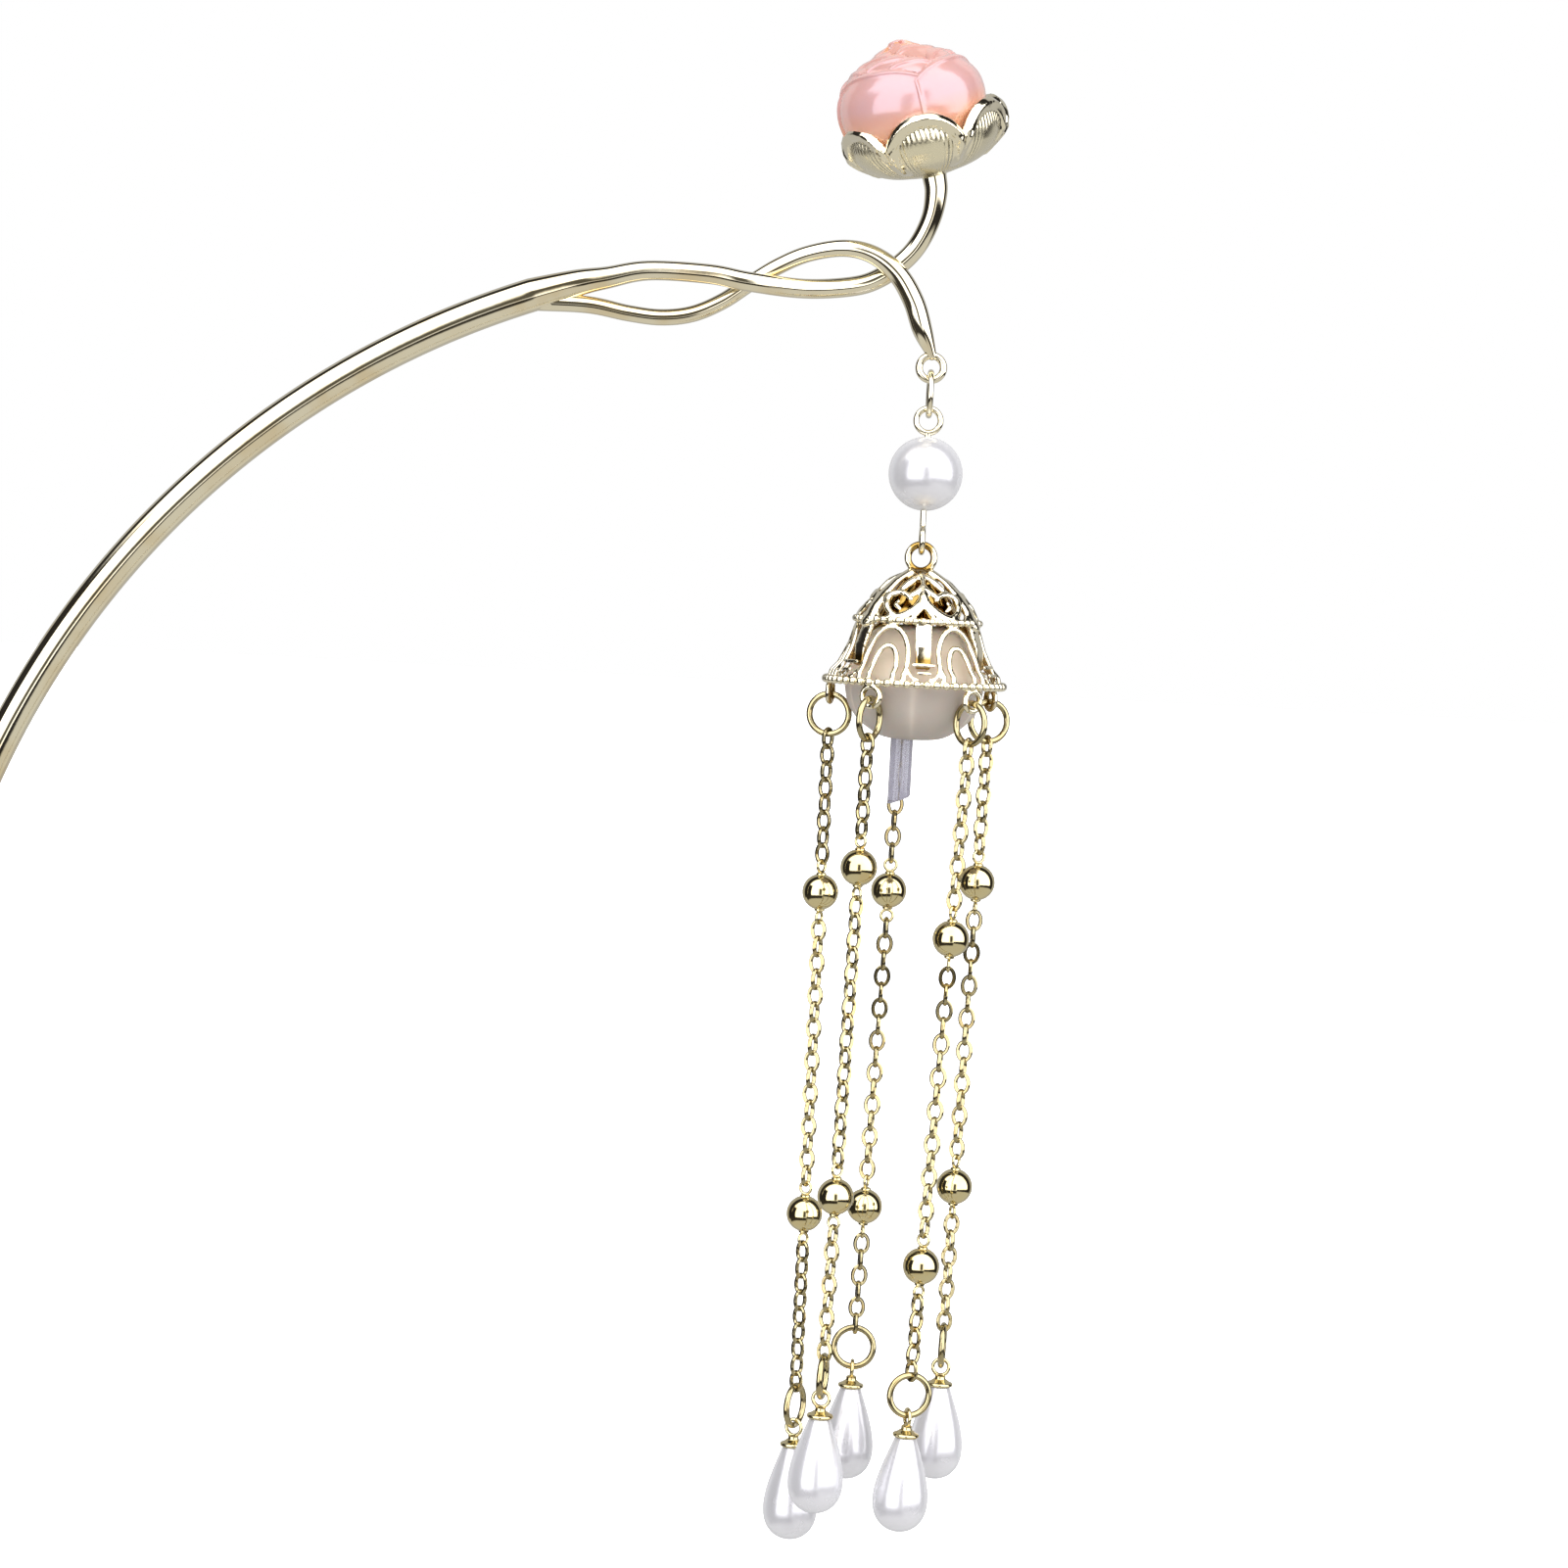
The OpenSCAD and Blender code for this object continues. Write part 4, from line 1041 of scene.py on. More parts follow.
def new_group(name, tree_type, inputs, outputs):
    """An empty node group: its tree, its inputs' sockets and its last node.

    An input is given by its default, or by its kind where it has none.
    """
    group = bpy.data.node_groups.new(name, tree_type)
    for label, default in inputs.items():
        kind = default if isinstance(default, str) else "Float"
        socket = group.interface.new_socket(label, in_out="INPUT", socket_type="NodeSocket" + kind)
        if kind == "Float":
            socket.default_value = default
    for label, kind in outputs.items():
        group.interface.new_socket(label, in_out="OUTPUT", socket_type="NodeSocket" + kind)
    tree = Tree(group)
    return tree, tree.add("NodeGroupInput").outputs, tree.add("NodeGroupOutput")


# The clouds of the plating tint it between these two values of their noise, by this much
CLOUD_LIMITS = (0.45, 0.75)
CLOUD_TINT = 0.35


def plating_group():
    """Uneven plating: soft clouds of tint, uneven polish and a fine wavy surface."""
    tree, given, result = new_group(
        "Uneven plating", "ShaderNodeTree",
        {"Cloud Scale": 220.0, "Polish": 0.1, "Unevenness": 0.05},
        {"Cloud": "Float", "Roughness": "Float", "Height": "Float"},
    )
    clouds = tree.noise(given["Cloud Scale"], detail=3.0)
    fine = tree.noise(tree.math("MULTIPLY", given["Cloud Scale"], 7.0), detail=2.0)
    swing = tree.math("MULTIPLY", tree.math("SUBTRACT", fine, 0.5), given["Unevenness"])
    tree.feed(result, {
        "Cloud": clouds,
        "Roughness": tree.math("ADD", given["Polish"], swing),
        "Height": tree.math("ADD", clouds, tree.math("MULTIPLY", fine, 0.15)),
    })
    return tree.tree


# Finishes: each function adds its nodes and gives the inputs of the material's shader


def finished(finish):
    """The material of a finish, built once and named after its function."""
    name = finish.__name__.replace("_", " ").capitalize()
    material = bpy.data.materials.get(name)
    if material is None:
        material = bpy.data.materials.new(name)
        material.use_nodes = True
        tree = Tree(material.node_tree)
        shader = material.node_tree.nodes["Principled BSDF"]
        tree.feed(shader, finish(tree, sizes("finish")))
    return material


def plating(tree, cloud_scale, polish, unevenness):
    """The outputs of the uneven plating with a finish's own values."""
    group = bpy.data.node_groups.get("Uneven plating") or plating_group()
    inputs = {"Cloud Scale": cloud_scale, "Polish": polish, "Unevenness": unevenness}
    return tree.add("ShaderNodeGroup", inputs, node_tree=group).outputs


def plated(tree, base, deep, wave, **values):
    """Gold plate over a casting or a wire, deeper in tint where it is cloudy."""
    plate = plating(tree, **values)
    depth = tree.math("MULTIPLY", tree.smooth_step(plate["Cloud"], *CLOUD_LIMITS), CLOUD_TINT)
    return {
        "Base Color": tree.mix(depth, base, deep),
        "Roughness": plate["Roughness"],
        "Normal": tree.bump(plate["Height"], wave),
        "Metallic": 1.0,
    }


def pale_gold(tree, f):
    """Polished champagne plate of the pin."""
    return plated(tree, f.pale_gold, f.pale_gold_deep, wave=0.02 * MM,
                  cloud_scale=160.0, polish=0.06, unevenness=0.05)


def yellow_gold(tree, f):
    """Yellow gold plate on wire."""
    return plated(tree, f.yellow_gold, f.pale_gold_deep, wave=0.015 * MM,
                  cloud_scale=500.0, polish=0.08, unevenness=0.06)


def shaded_chain_gold(tree, f):
    """Plate on the chains' links and the strands' rings, darker than the yellow gold as painted shade
    on their thin wires.
    """
    return plated(tree, f.shaded_chain_gold, f.pale_gold_deep, wave=0.01 * MM,
                  cloud_scale=500.0, polish=0.14, unevenness=0.06)


def pale_wire(tree, f):
    """Paler plate on the thick wires round the pearl."""
    return plated(tree, f.pale_gold, f.yellow_gold, wave=0.015 * MM,
                  cloud_scale=500.0, polish=0.08, unevenness=0.06)


def cast_pale_gold(tree, f):
    """The cap's casting, with painted shade, darker and yellower, in its hollows."""
    plate = plating(tree, cloud_scale=420.0, polish=0.09, unevenness=0.08)
    return {
        "Base Color": tree.mix(tree.painted("hollow"), f.pale_gold, f.hollow_shade_gold),
        "Roughness": plate["Roughness"],
        "Normal": tree.bump(plate["Height"], distance=0.05 * MM),
        "Metallic": 1.0,
    }


def calyx_gold(tree, f):
    """Polished rims over brushed faces that have fine upright lines."""
    plate = plating(tree, cloud_scale=380.0, polish=0.2, unevenness=0.08)
    polish = tree.painted("polish")
    rough = tree.math("MULTIPLY", tree.math("SUBTRACT", 1.0, polish), plate["Roughness"])
    lines = tree.math("SINE", tree.math("MULTIPLY", tree.painted("around"), COMB_LINES))
    lines = tree.math("MULTIPLY", lines, tree.painted("comb"))
    clouds = tree.math("MULTIPLY", plate["Height"], 0.15)
    return {
        "Base Color": tree.mix(polish, f.satin_gold, f.pale_gold),
        "Roughness": tree.math("ADD", rough, 0.07),
        "Normal": tree.bump(tree.math("ADD", lines, clouds), distance=0.05 * MM),
        "Metallic": 1.0,
    }


def bud_resin(tree, f):
    """Glossy pearly resin, pink on the petals and orange at the foot, with painted orange shade in the
    grooves and a painted glow at its edges.
    """
    patches = tree.noise(scale=180.0, detail=4.0)
    patchy = tree.math("MULTIPLY", tree.math("SUBTRACT", patches, 0.5), 0.5)
    # A painted glow: more orange where the surface turns away from the viewer, standing in for light
    # through the thin edges
    edge = tree.math("MULTIPLY", tree.slant(blend=0.35), 0.45)
    # The painted mask: the warm foot, painted orange shade in the grooves and between petals, random
    # patches, and the painted edge glow
    warm_tint_and_shade = tree.math("ADD", tree.math("ADD", tree.painted("depth"), patchy), edge, clamp=True)
    return {
        "Base Color": tree.mix(warm_tint_and_shade, f.petal, f.petal_orange_and_shade),
        "Normal": tree.bump(tree.noise(scale=420.0, detail=3.0, Distortion=0.8), distance=0.04 * MM),
        "Roughness": 0.22,
        "Specular IOR Level": 0.9,
        "Specular Tint": (0.8, 0.72, 1, 1),
        "Coat Weight": 1.0,
        "Coat Roughness": 0.03,
        "Coat IOR": 1.5,
        "Coat Tint": (0.98, 0.96, 1, 1),
        "Subsurface Weight": 0.2,
        "Subsurface Scale": 1.5 * MM,
        "Subsurface Radius": (1.0, 0.45, 0.35),
    }


def lacquered(tree, f, cloud_depth):
    """Pearl lacquer: white with a soft lustre under a clear gloss, and a painted pale rim light where
    it turns away.
    """
    clouds = tree.noise(scale=300.0, detail=3.0)
    # Painted rim light: paler and less metallic where the surface turns away from the viewer
    slant = tree.slant(blend=0.5)
    tint = tree.mix(clouds, f.pearl, tuple(c * cloud_depth for c in f.pearl))
    return {
        "Base Color": tree.mix(tree.math("MULTIPLY", slant, 0.7), tint, f.pearl_edge),
        "Metallic": tree.math("MULTIPLY", tree.math("SUBTRACT", 1.0, slant), 0.4),
        "Roughness": tree.math("ADD", 0.25, tree.math("MULTIPLY", clouds, 0.04)),
        "Coat Weight": 0.6,
        "Coat Roughness": 0.12,
    }


def pearl_lacquer(tree, f):
    """Lacquer on the round pearl."""
    return lacquered(tree, f, cloud_depth=0.9)


def teardrop_lacquer(tree, f):
    """Lacquer on the teardrops, a little paler in its clouds."""
    return lacquered(tree, f, cloud_depth=0.94)


def frosted_resin(tree, f):
    """Frosted translucent resin, paler along its seams, with painted warm light from the gold cap
    inside the cap.
    """
    patchy = tree.math("MULTIPLY", tree.noise(scale=160.0, detail=4.0), 0.5)
    paleness = tree.math("ADD", tree.painted("seam"), patchy, clamp=True)
    tint = tree.mix(paleness, f.frosted, f.frosted_pale)
    return {
        "Base Color": tree.mix(tree.painted("warm"), tint, f.frosted_gold_bounce),
        "Roughness": tree.math("ADD", 0.35, patchy),
        "Normal": tree.bump(tree.noise(scale=2500.0, detail=2.0), distance=0.03 * MM),
        "Subsurface Weight": 0.3,
        "Subsurface Scale": 3 * MM,
        "Coat Weight": 0.15,
    }


def clear_glass(tree, f):
    """Clear glass with a lavender tint."""
    haze = tree.noise(scale=150.0, detail=1.0)
    pale = tuple(0.5 + c / 2 for c in f.rod_tint)
    return {
        "Base Color": tree.mix(haze, f.rod_tint, pale),
        "Roughness": tree.math("MULTIPLY", haze, 0.15),
        "Transmission Weight": 0.75,
        "IOR": 1.5,
    }


def pale_floor(tree, f):
    """Matt white that glows a little."""
    return {
        "Base Color": (0.8, 0.8, 0.8, 1),
        "Roughness": 0.9,
        "Emission Color": (1, 1, 1, 1),
        "Emission Strength": 0.8,
    }


# Operators


class HAIRPIN_OT_pin(bpy.types.Operator):
    """Build the shaft, the two twisted strands, the hook's eye and the bud's post"""

    bl_idname = "hairpin.pin"
    bl_label = "Pin"

    def execute(self, context):
        """Sweeps each stretch and unites them."""
        s = sizes("pin")
        straight = np.linspace(s.grip_to_tip - s.point_len, s.root_len - s.grip_to_split, 96)
        point = spline([(s.grip_to_tip - s.point_len * (1 - a), b) for a, b in POINT_ROWS], 4)
        point = point[::-1]
        reach = np.concatenate([point[:-1, 0], straight])
        radius = np.full(len(reach), s.shaft_d / 2)
        radius[:len(point) - 1] += point[:-1, 1] * (s.tip_d - s.shaft_d) / 2
        shaft = np.array([(*shaft_point(d), r) for d, r in zip(reach, radius)])
        stem_rows = np.array([(*twist_point(row), row[3] * s.stem_d / 2) for row in STEM_ROWS])
        stem = spline(np.vstack([shaft[-2:], stem_rows]), SWEEP_STEPS)[SWEEP_STEPS:]
        main_rows = np.vstack([shaft[:-1], stem])
        eye = hook_eye()
        eye_r = (s.hook_hole_d + s.hook_wire_d) / 2
        hook_rows = [(*twist_point(row), row[3] * s.hook_d) for row in HOOK_ROWS]
        hook_rows.append((*(eye + eye_r * UP), s.hook_wire_d * HOOK_END))
        hook_rows = spline(hook_rows, SWEEP_STEPS)
        main = tube(main_rows[:, :3], main_rows[:, 3], BACK, sides=48)
        hook = tube(hook_rows[:, :3], hook_rows[:, 3] / 2, BACK, sides=32)
        eye_loop = circle(eye, eye_r, RIGHT, UP, steps=64)
        ring = tube(eye_loop, s.hook_wire_d / 2, BACK, sides=24, closed=True)
        pin = united("pin_metal", [main, hook, ring])
        dress(pin, pale_gold, HAIRPIN, "pale_gold", "pin")
        return {"FINISHED"}


def sepal_half_width(up):
    """Half width of a sepal as an angle, rounded off above its shoulder."""
    high = ramp(up, SEPAL_SHOULDER, 1 - SEPAL_SHOULDER)
    narrowing = 1 - SEPAL_NARROWING * ramp(up, SEPAL_WAIST, SEPAL_WAIST_LEN)
    return SEPAL_HALF * narrowing * np.sqrt(1 - high ** SHOULDER_ROUNDNESS)


def sepal_surface(turn, out):
    """A function of the place across and along a sepal that gives its point in the bud's frame."""
    s = sizes("bud")
    rows = spline(SEPAL_ROWS, steps=5)
    along = np.linspace(0, 1, len(rows))

    def place(across, up, depth=0.0):
        """across goes from -1 to 1, and up from the foot, 0, to the tip, 1."""
        radius = np.interp(up, along, rows[:, 0]) * s.calyx_r
        height = np.interp(up, along, rows[:, 1]) * s.calyx_h
        bulge = s.sepal_bulge * (1 - across ** 2) * np.sin(math.pi * np.clip(up, 0, 1))
        radius = radius + bulge + out * ramp(up, 0, STAGGER_START) - depth
        angle = turn + across * sepal_half_width(up)
        return np.stack([radius * np.sin(angle), -radius * np.cos(angle), height + 0 * angle], -1)

    return place


def sepal_wall(place):
    """A sepal's wall, closed at its foot and its tip."""
    low = np.linspace(0, SEPAL_SHOULDER, 12)
    tip_turn = np.linspace(TIP_START, math.pi / 2, 14)
    high = SEPAL_SHOULDER + (1 - SEPAL_SHOULDER) * np.sin(tip_turn)
    across = np.linspace(-1, 1, 17)
    ups = np.concatenate([low, high])
    outer = np.array([place(across, up) for up in ups])
    inner = np.array([place(across, up, sizes("bud").sepal_t) for up in ups])
    loops = np.concatenate([outer, inner[:, ::-1]], axis=1)
    return skin(loops, loops[0].mean(0), loops[-1].mean(0))


def sepal_edge(place):
    """The line that a sepal's rim follows, up one side and down the other."""
    depth = sizes("bud").rim_depth
    ups = np.linspace(RIM_START, RIM_TURN, 20)
    edge = [place(-1.0, up, depth) for up in ups]
    edge += [place(across, RIM_TIP, depth) for across in (-0.5, 0, 0.5)]
    edge += [place(1.0, up, depth) for up in ups[::-1]]
    return spline(edge, steps=3)


def sepal_rim(edge):
    """The rolled rim along a sepal's edge, thinner towards its ends."""
    s = sizes("bud")
    reach = np.linspace(0, 1, len(edge))
    taper = np.clip(np.minimum(reach, 1 - reach) / RIM_TAPER, RIM_THINNEST, 1)
    outward = unit(edge * (1, 1, 0))
    ridge = math.cos(s.rim_lean) * UP + math.sin(s.rim_lean) * outward
    return tube(edge, s.sepal_rim_d / 2 * taper, ridge, sides=RIM_SIDES)


class HAIRPIN_OT_calyx(bpy.types.Operator):
    """Build the cast cup of sepals with rolled rims"""

    bl_idname = "hairpin.calyx"
    bl_label = "Calyx"

    def execute(self, context):
        """Sweeps walls and rims and fuses them."""
        s = sizes("bud")
        shapes = []
        edges = []
        for i in range(s.sepals):
            turn = s.calyx_turn + 2 * math.pi * i / s.sepals
            place = sepal_surface(turn, SEPAL_STAGGER * (i % 2 == 0))
            edges.append(sepal_edge(place))
            shapes += [sepal_wall(place), sepal_rim(edges[-1])]
        shapes.append(turned_piece(CALYX_FOOT_ROWS))
        seat = bud_frame()
        calyx = fused("calyx_metal", moved(joined(shapes), seat), s.calyx_grain)
        back = np.array(seat.inverted())
        local = coordinates(calyx.data) @ back[:3, :3].T + back[:3, 3]
        rims = np.concatenate(edges)
        tree = KDTree(len(rims))
        for i, point in enumerate(rims):
            tree.insert(Vector(point), i)
        tree.balance()
        near = np.array([tree.find(Vector(point))[2] for point in local])
        beyond = near - s.sepal_rim_d / 2
        comb = ramp(beyond, 0, COMB_RISE) * ramp(COMB_END - beyond, 0, COMB_FADE)
        paint(calyx.data, "around", np.arctan2(local[:, 0], local[:, 1]))
        paint(calyx.data, "polish", 1 - ramp(near, s.sepal_rim_d * POLISH_REACH, POLISH_FADE))
        paint(calyx.data, "comb", comb)
        dress(calyx, calyx_gold, HAIRPIN, "pale_gold", "calyx")
        return {"FINISHED"}


def petal_relief(angles, radius, height):
    """How many petals thick the bud is at each point, its lips and grooves, and its bulge."""
    s = sizes("bud")
    layer = np.zeros_like(radius)
    lip = np.zeros_like(radius)
    bulge = np.zeros_like(radius)
    width_r = np.maximum(radius, PETAL_SIDE_R * s.bud_r)
    for direction, half_width, top, thickness in PETAL_ROWS:
        off = np.abs(np.angle(np.exp(1j * (angles - math.radians(direction)))))
        off = off / math.radians(half_width)
        edge = top * s.bud_h * (1 - PETAL_DROOP * off ** 3)
        side = (PETAL_REACH - off) * math.radians(half_width) * width_r
        inside = np.minimum(edge - height, side)
        step = LAYER_STEP * s.petal_t
        cover = eased(np.clip(inside / step + 0.5, 0, 1)) * thickness
        ridge = np.exp(-((inside - LIP_PLACE) / LIP_W) ** 2)
        groove = np.exp(-((inside + GROOVE_PLACE) / GROOVE_W) ** 2)
        on_top = cover >= layer
        lip = np.where(on_top, ridge - GROOVE_DEPTH * groove, lip)
        bulge = np.where(on_top, PETAL_MIDDLE - off ** 2, bulge)
        layer = np.maximum(layer, cover)
    return layer, lip, bulge


class HAIRPIN_OT_bud(bpy.types.Operator):
    """Build the carved bud with its overlapping petals"""

    bl_idname = "hairpin.bud"
    bl_label = "Bud"

    def execute(self, context):
        """Carves the petals into a turned form, point by point."""
        s = sizes("bud")
        outline = spline(BUD_ROWS, steps=9)
        level = outline[:, 1:]
        angles = np.radians(np.linspace(0, 360, 320, endpoint=False))
        radius = outline[:, :1] * s.bud_r + 0 * angles
        height = level * s.bud_h + 0 * angles
        layer, lip, bulge = petal_relief(angles, radius, height)
        carved = ramp(level, CARVING_FOOT, CARVING_RISE) + 0 * angles
        depth = carved * ramp(1 - level, 0, LAYER_FADE) * (PETAL_LAYERS - layer) / PETAL_LAYERS
        relief = (s.petal_lip * lip + s.petal_bulge * bulge) * carved
        radius = (radius - LAYER_STEP * PETAL_LAYERS * s.petal_t * depth
                  + relief * ramp(1 - level, 0, RELIEF_FADE))
        rings = np.stack([radius * np.sin(angles), -radius * np.cos(angles), height], -1)
        rings[..., 0] -= s.bud_shift * eased(ramp(level, 0, SHIFT_TOP))
        rings[..., 2] -= s.bud_sink * ramp(level, SINK_FOOT, 1 - SINK_FOOT)
        shape = skin(rings[:-1], (0, 0, rings[0, 0, 2]), (-s.bud_shift, 0, rings[-1, 0, 2]))
        bud = mesh_object("bud_carving", moved(shape, bud_frame()))
        foot = ramp(WARM_TOP - level, 0, WARM_FADE)
        # Painted orange shade in the grooves and in the depth between petals, added to the warm tint
        # of the foot and stored as the depth value
        grooves = np.clip(-lip, 0, 1) * GROOVE_SHADE * carved
        tint = np.clip(foot + grooves + DEPTH_SHADE * depth, 0, 1)
        paint(bud.data, "depth", np.append(tint[:-1].ravel(), [1, WARM_TIP]))
        dress(bud, bud_resin, HAIRPIN, "pink_bud", "bud")
        return {"FINISHED"}


class HAIRPIN_OT_pearl(bpy.types.Operator):
    """Build the ring in the hook, the pearl and its wire"""

    bl_idname = "hairpin.pearl"
    bl_label = "Pearl"

    def execute(self, context):
        """Turns the pearl and bends its wire."""
        s = sizes("link")
        z = heights()
        ring = wire_ring(z["hook_ring"], s.hook_ring_d, s.hook_ring_wire_d, math.pi / 2, steps=64)
        piece = mesh_object("hook_ring_wire", moved(ring, hanging()))
        dress(piece, pale_wire, UPPER_RING, "yellow_gold", "hook_ring")
        hole = s.pearl_wire_d / 2 + s.gap
        start = math.degrees(math.acos(hole / (s.pearl_d / 2)))
        outline = arc((0, 0), s.pearl_d / 2, start, -start, steps=49)
        floor = outline[0][1] - HOLE_DEPTH
        outline = [(0, floor), (hole, floor), *outline, (hole, -floor), (0, -floor)]
        pearl = mesh_object("pearl_bead", moved(lathe(outline, sides=72), hanging(z["pearl"])))
        dress(pearl, pearl_lacquer, PEARL_LINK, "pearl_white", "pearl")
        top = z["upper_eye"] - s.pearl_eye_d / 2
        foot = z["lower_eye"] + s.pearl_eye_d / 2
        wires = [
            wire_ring(z["upper_eye"], s.pearl_eye_d, s.pearl_wire_d),
            wire_ring(z["lower_eye"], s.pearl_eye_d, s.pearl_wire_d, math.pi / 2),
            tube([(0, 0, h) for h in np.linspace(foot, top, 12)], s.pearl_wire_d / 2, RIGHT, sides=18),
        ]
        wire = united("pearl_wire_bent", [moved(shape, hanging()) for shape in wires])
        dress(wire, pale_wire, PEARL_LINK, "yellow_gold", "pearl_wire")
        return {"FINISHED"}


def cap_outline():
    """The cap's outer face: rows of radius and depth under its top."""
    s = sizes("cap")
    crown = np.array(CROWN_ROWS) * (s.crown_r, s.crown_h)
    skirt = np.array(SKIRT_ROWS) * (s.cap_r - s.crown_r, s.skirt_h) + (s.crown_r, s.crown_h)
    return np.vstack([crown[:-1], skirt])


def cap_surface(turn, depth, out=0.0):
    """A point on the cap at a direction and a depth under its top, and the outward normal."""
    radii, depths = cap_outline().T
    radius, above, below = (np.interp(depth + step, depths, radii)
                            for step in (0, -SLANT_STEP, SLANT_STEP))
    slant = (below - above) / (2 * SLANT_STEP)
    lift = 1 / np.sqrt(1 + slant ** 2)
    flat = np.stack([np.sin(turn), -np.cos(turn), 0 * turn], -1)
    normal = flat * lift[..., None] + UP * (slant * lift)[..., None]
    point = flat * radius[..., None] - UP * depth[..., None] + normal * out
    return point, normal


def cap_stroke(middle, rows, width, out, thickness=0.8, sides=10):
    """A raised stroke on the cap through points given across and down, in metres."""
    path = spline(rows, STROKE_STEPS)
    radii, depths = cap_outline().T
    radius = np.interp(path[:, 1], depths, radii)
    turn = middle + np.arcsin(np.clip(path[:, 0] / radius, -STROKE_REACH, STROKE_REACH))
    points, normals = cap_surface(turn, path[:, 1], out)
    return tube(points, width / 2, normals, sides, flat=thickness)


def skirt_strokes():
    """The strokes of the skirt: arches, plates, ledges and the bosses beside them."""
    s = sizes("cap")
    shapes = []
    rim = s.crown_h + s.skirt_h
    foot = s.crown_h + s.skirt_h * s.arch_foot
    for bay in range(s.bays):
        middle = s.turn + (bay + 0.5) * 2 * math.pi / s.bays
        for size, out in ((1.0, ARCH_OUT), (s.inner_arch, 0.0)):
            w = (s.arch_w * size - s.arch_band) / 2
            h = s.arch_h * size - s.arch_band / 2
            bow = [(w * math.cos(a), foot - h * math.sin(a)) for a in np.linspace(0, math.pi, 13)]
            rows = [(w * ARCH_LEAN, rim), *bow, (-w * ARCH_LEAN, rim)]
            shapes.append(cap_stroke(middle, rows, s.arch_band, out))
        plate = s.turn + bay * 2 * math.pi / s.bays
        shapes.append(cap_plate(plate, s.crown_h, s.crown_h + s.skirt_h * PLATE_END))
        for depth, half, width, out in LEDGE_ROWS:
            ledge = s.crown_h + s.skirt_h * depth
            rows = [(a * s.plate_w * half, ledge) for a in (-1, 0, 1)]
            shapes.append(cap_stroke(plate, rows, width * MM, out * MM))
        for side in (-1, 1):
            rows = [(side * a * s.plate_w, s.crown_h + s.skirt_h * b) for a, b in BOSS_ROWS]
            shapes.append(cap_stroke(plate, rows, BOSS_W, BOSS_OUT))
    return shapes


def cap_plate(middle, top, bottom):
    """A flat plate on the cap, with its foot curled inwards."""
    s = sizes("cap")
    across = np.linspace(-s.plate_w / 2, s.plate_w / 2, 5)
    rows = []
    for depth in np.linspace(top, bottom, 14):
        radius = np.interp(depth, (s.crown_h, s.crown_h + s.skirt_h), (s.crown_r, s.cap_r))
        turn = middle + across / radius
        depths = np.full(len(across), depth)
        curl = max(0.0, (depth - top) / (bottom - top) - CURL_START) / (1 - CURL_START)
        level = PLATE_OUT - s.plate_curl * curl
        outer, _ = cap_surface(turn, depths, level)
        inner, _ = cap_surface(turn, depths, level - s.wall)
        rows.append(np.concatenate([outer, inner[::-1]]))
    rows = np.array(rows)
    return skin(rows, rows[0].mean(0), rows[-1].mean(0))


def crown_strokes():
    """The strokes of the crown: three ribs and a palmette with scrolls in each panel."""
    s = sizes("cap")
    shapes = []
    panels = s.bays // 2
    for panel in range(panels):
        middle = s.turn + panel * 2 * math.pi / panels
        for turn, part in ((middle + math.pi / panels, RIB), (middle, STEM)):
            depths, ends, out, thickness, sides = part
            rows = [(0, depth * s.crown_h) for depth in depths]
            widths = np.linspace(*ends, STROKE_STEPS * (len(rows) - 1) + 1) * MM
            shapes.append(cap_stroke(turn, rows, widths, out * MM, thickness, sides))
        for side in (-1, 1):
            for points, stops, out, thickness in CROWN_STROKES:
                rows = [(side * a * s.crown_r, b * s.crown_h) for a, b in points]
                count = STROKE_STEPS * (len(rows) - 1) + 1
                widths = np.interp(np.arange(count), (0, count / 2, count - 1), stops) * s.scroll_w
                shapes.append(cap_stroke(middle, rows, widths, out * MM, thickness))
    return shapes


def cap_fittings(z):
    """The cap's rims, collar, top ring, ears, inner pin and inner cone."""
    s = sizes("cap")
    shapes = []
    for depth, radius in ((s.crown_h, s.crown_r), (s.crown_h + s.skirt_h, s.cap_r)):
        rim = circle(-depth * UP, radius, RIGHT, BACK, steps=120)
        shapes.append(tube(rim, RIM_WIRE_D / 2, UP, sides=12, closed=True))
    shapes.append(turned_piece(COLLAR_ROWS))
    shapes.append(wire_ring(z["cap_ring"] - z["cap_top"], s.ring_d, s.ring_wire_d))
    ear = wire_ring(0, s.ear_d, s.ear_wire_d)
    reach = Matrix.Translation((0, -s.ear_ring_r, z["ear"] - z["cap_top"]))
    for i in range(STRANDS):
        shapes.append(moved(ear, Matrix.Rotation(strand_turn(i), 4, "Z") @ reach))
    pin = [(-s.rod_shift, 0, -h) for h in np.linspace(INNER_PIN_TOP, s.pin_len, 12)]
    shapes.append(tube(pin, INNER_PIN_D / 2, RIGHT, sides=10))
    shapes.append(turned_piece(INNER_CONE_ROWS))
    return shapes


def realized(tree, instances, given, result):
    """Ends a tree with its instances made real, in the given material."""
    real = tree.add("GeometryNodeRealizeInstances", {"Geometry": instances})
    inputs = {"Geometry": real.outputs["Geometry"], "Material": given["Material"]}
    ready = tree.add("GeometryNodeSetMaterial", inputs)
    tree.feed(result, {"Geometry": ready.outputs["Geometry"]})
    return tree.tree


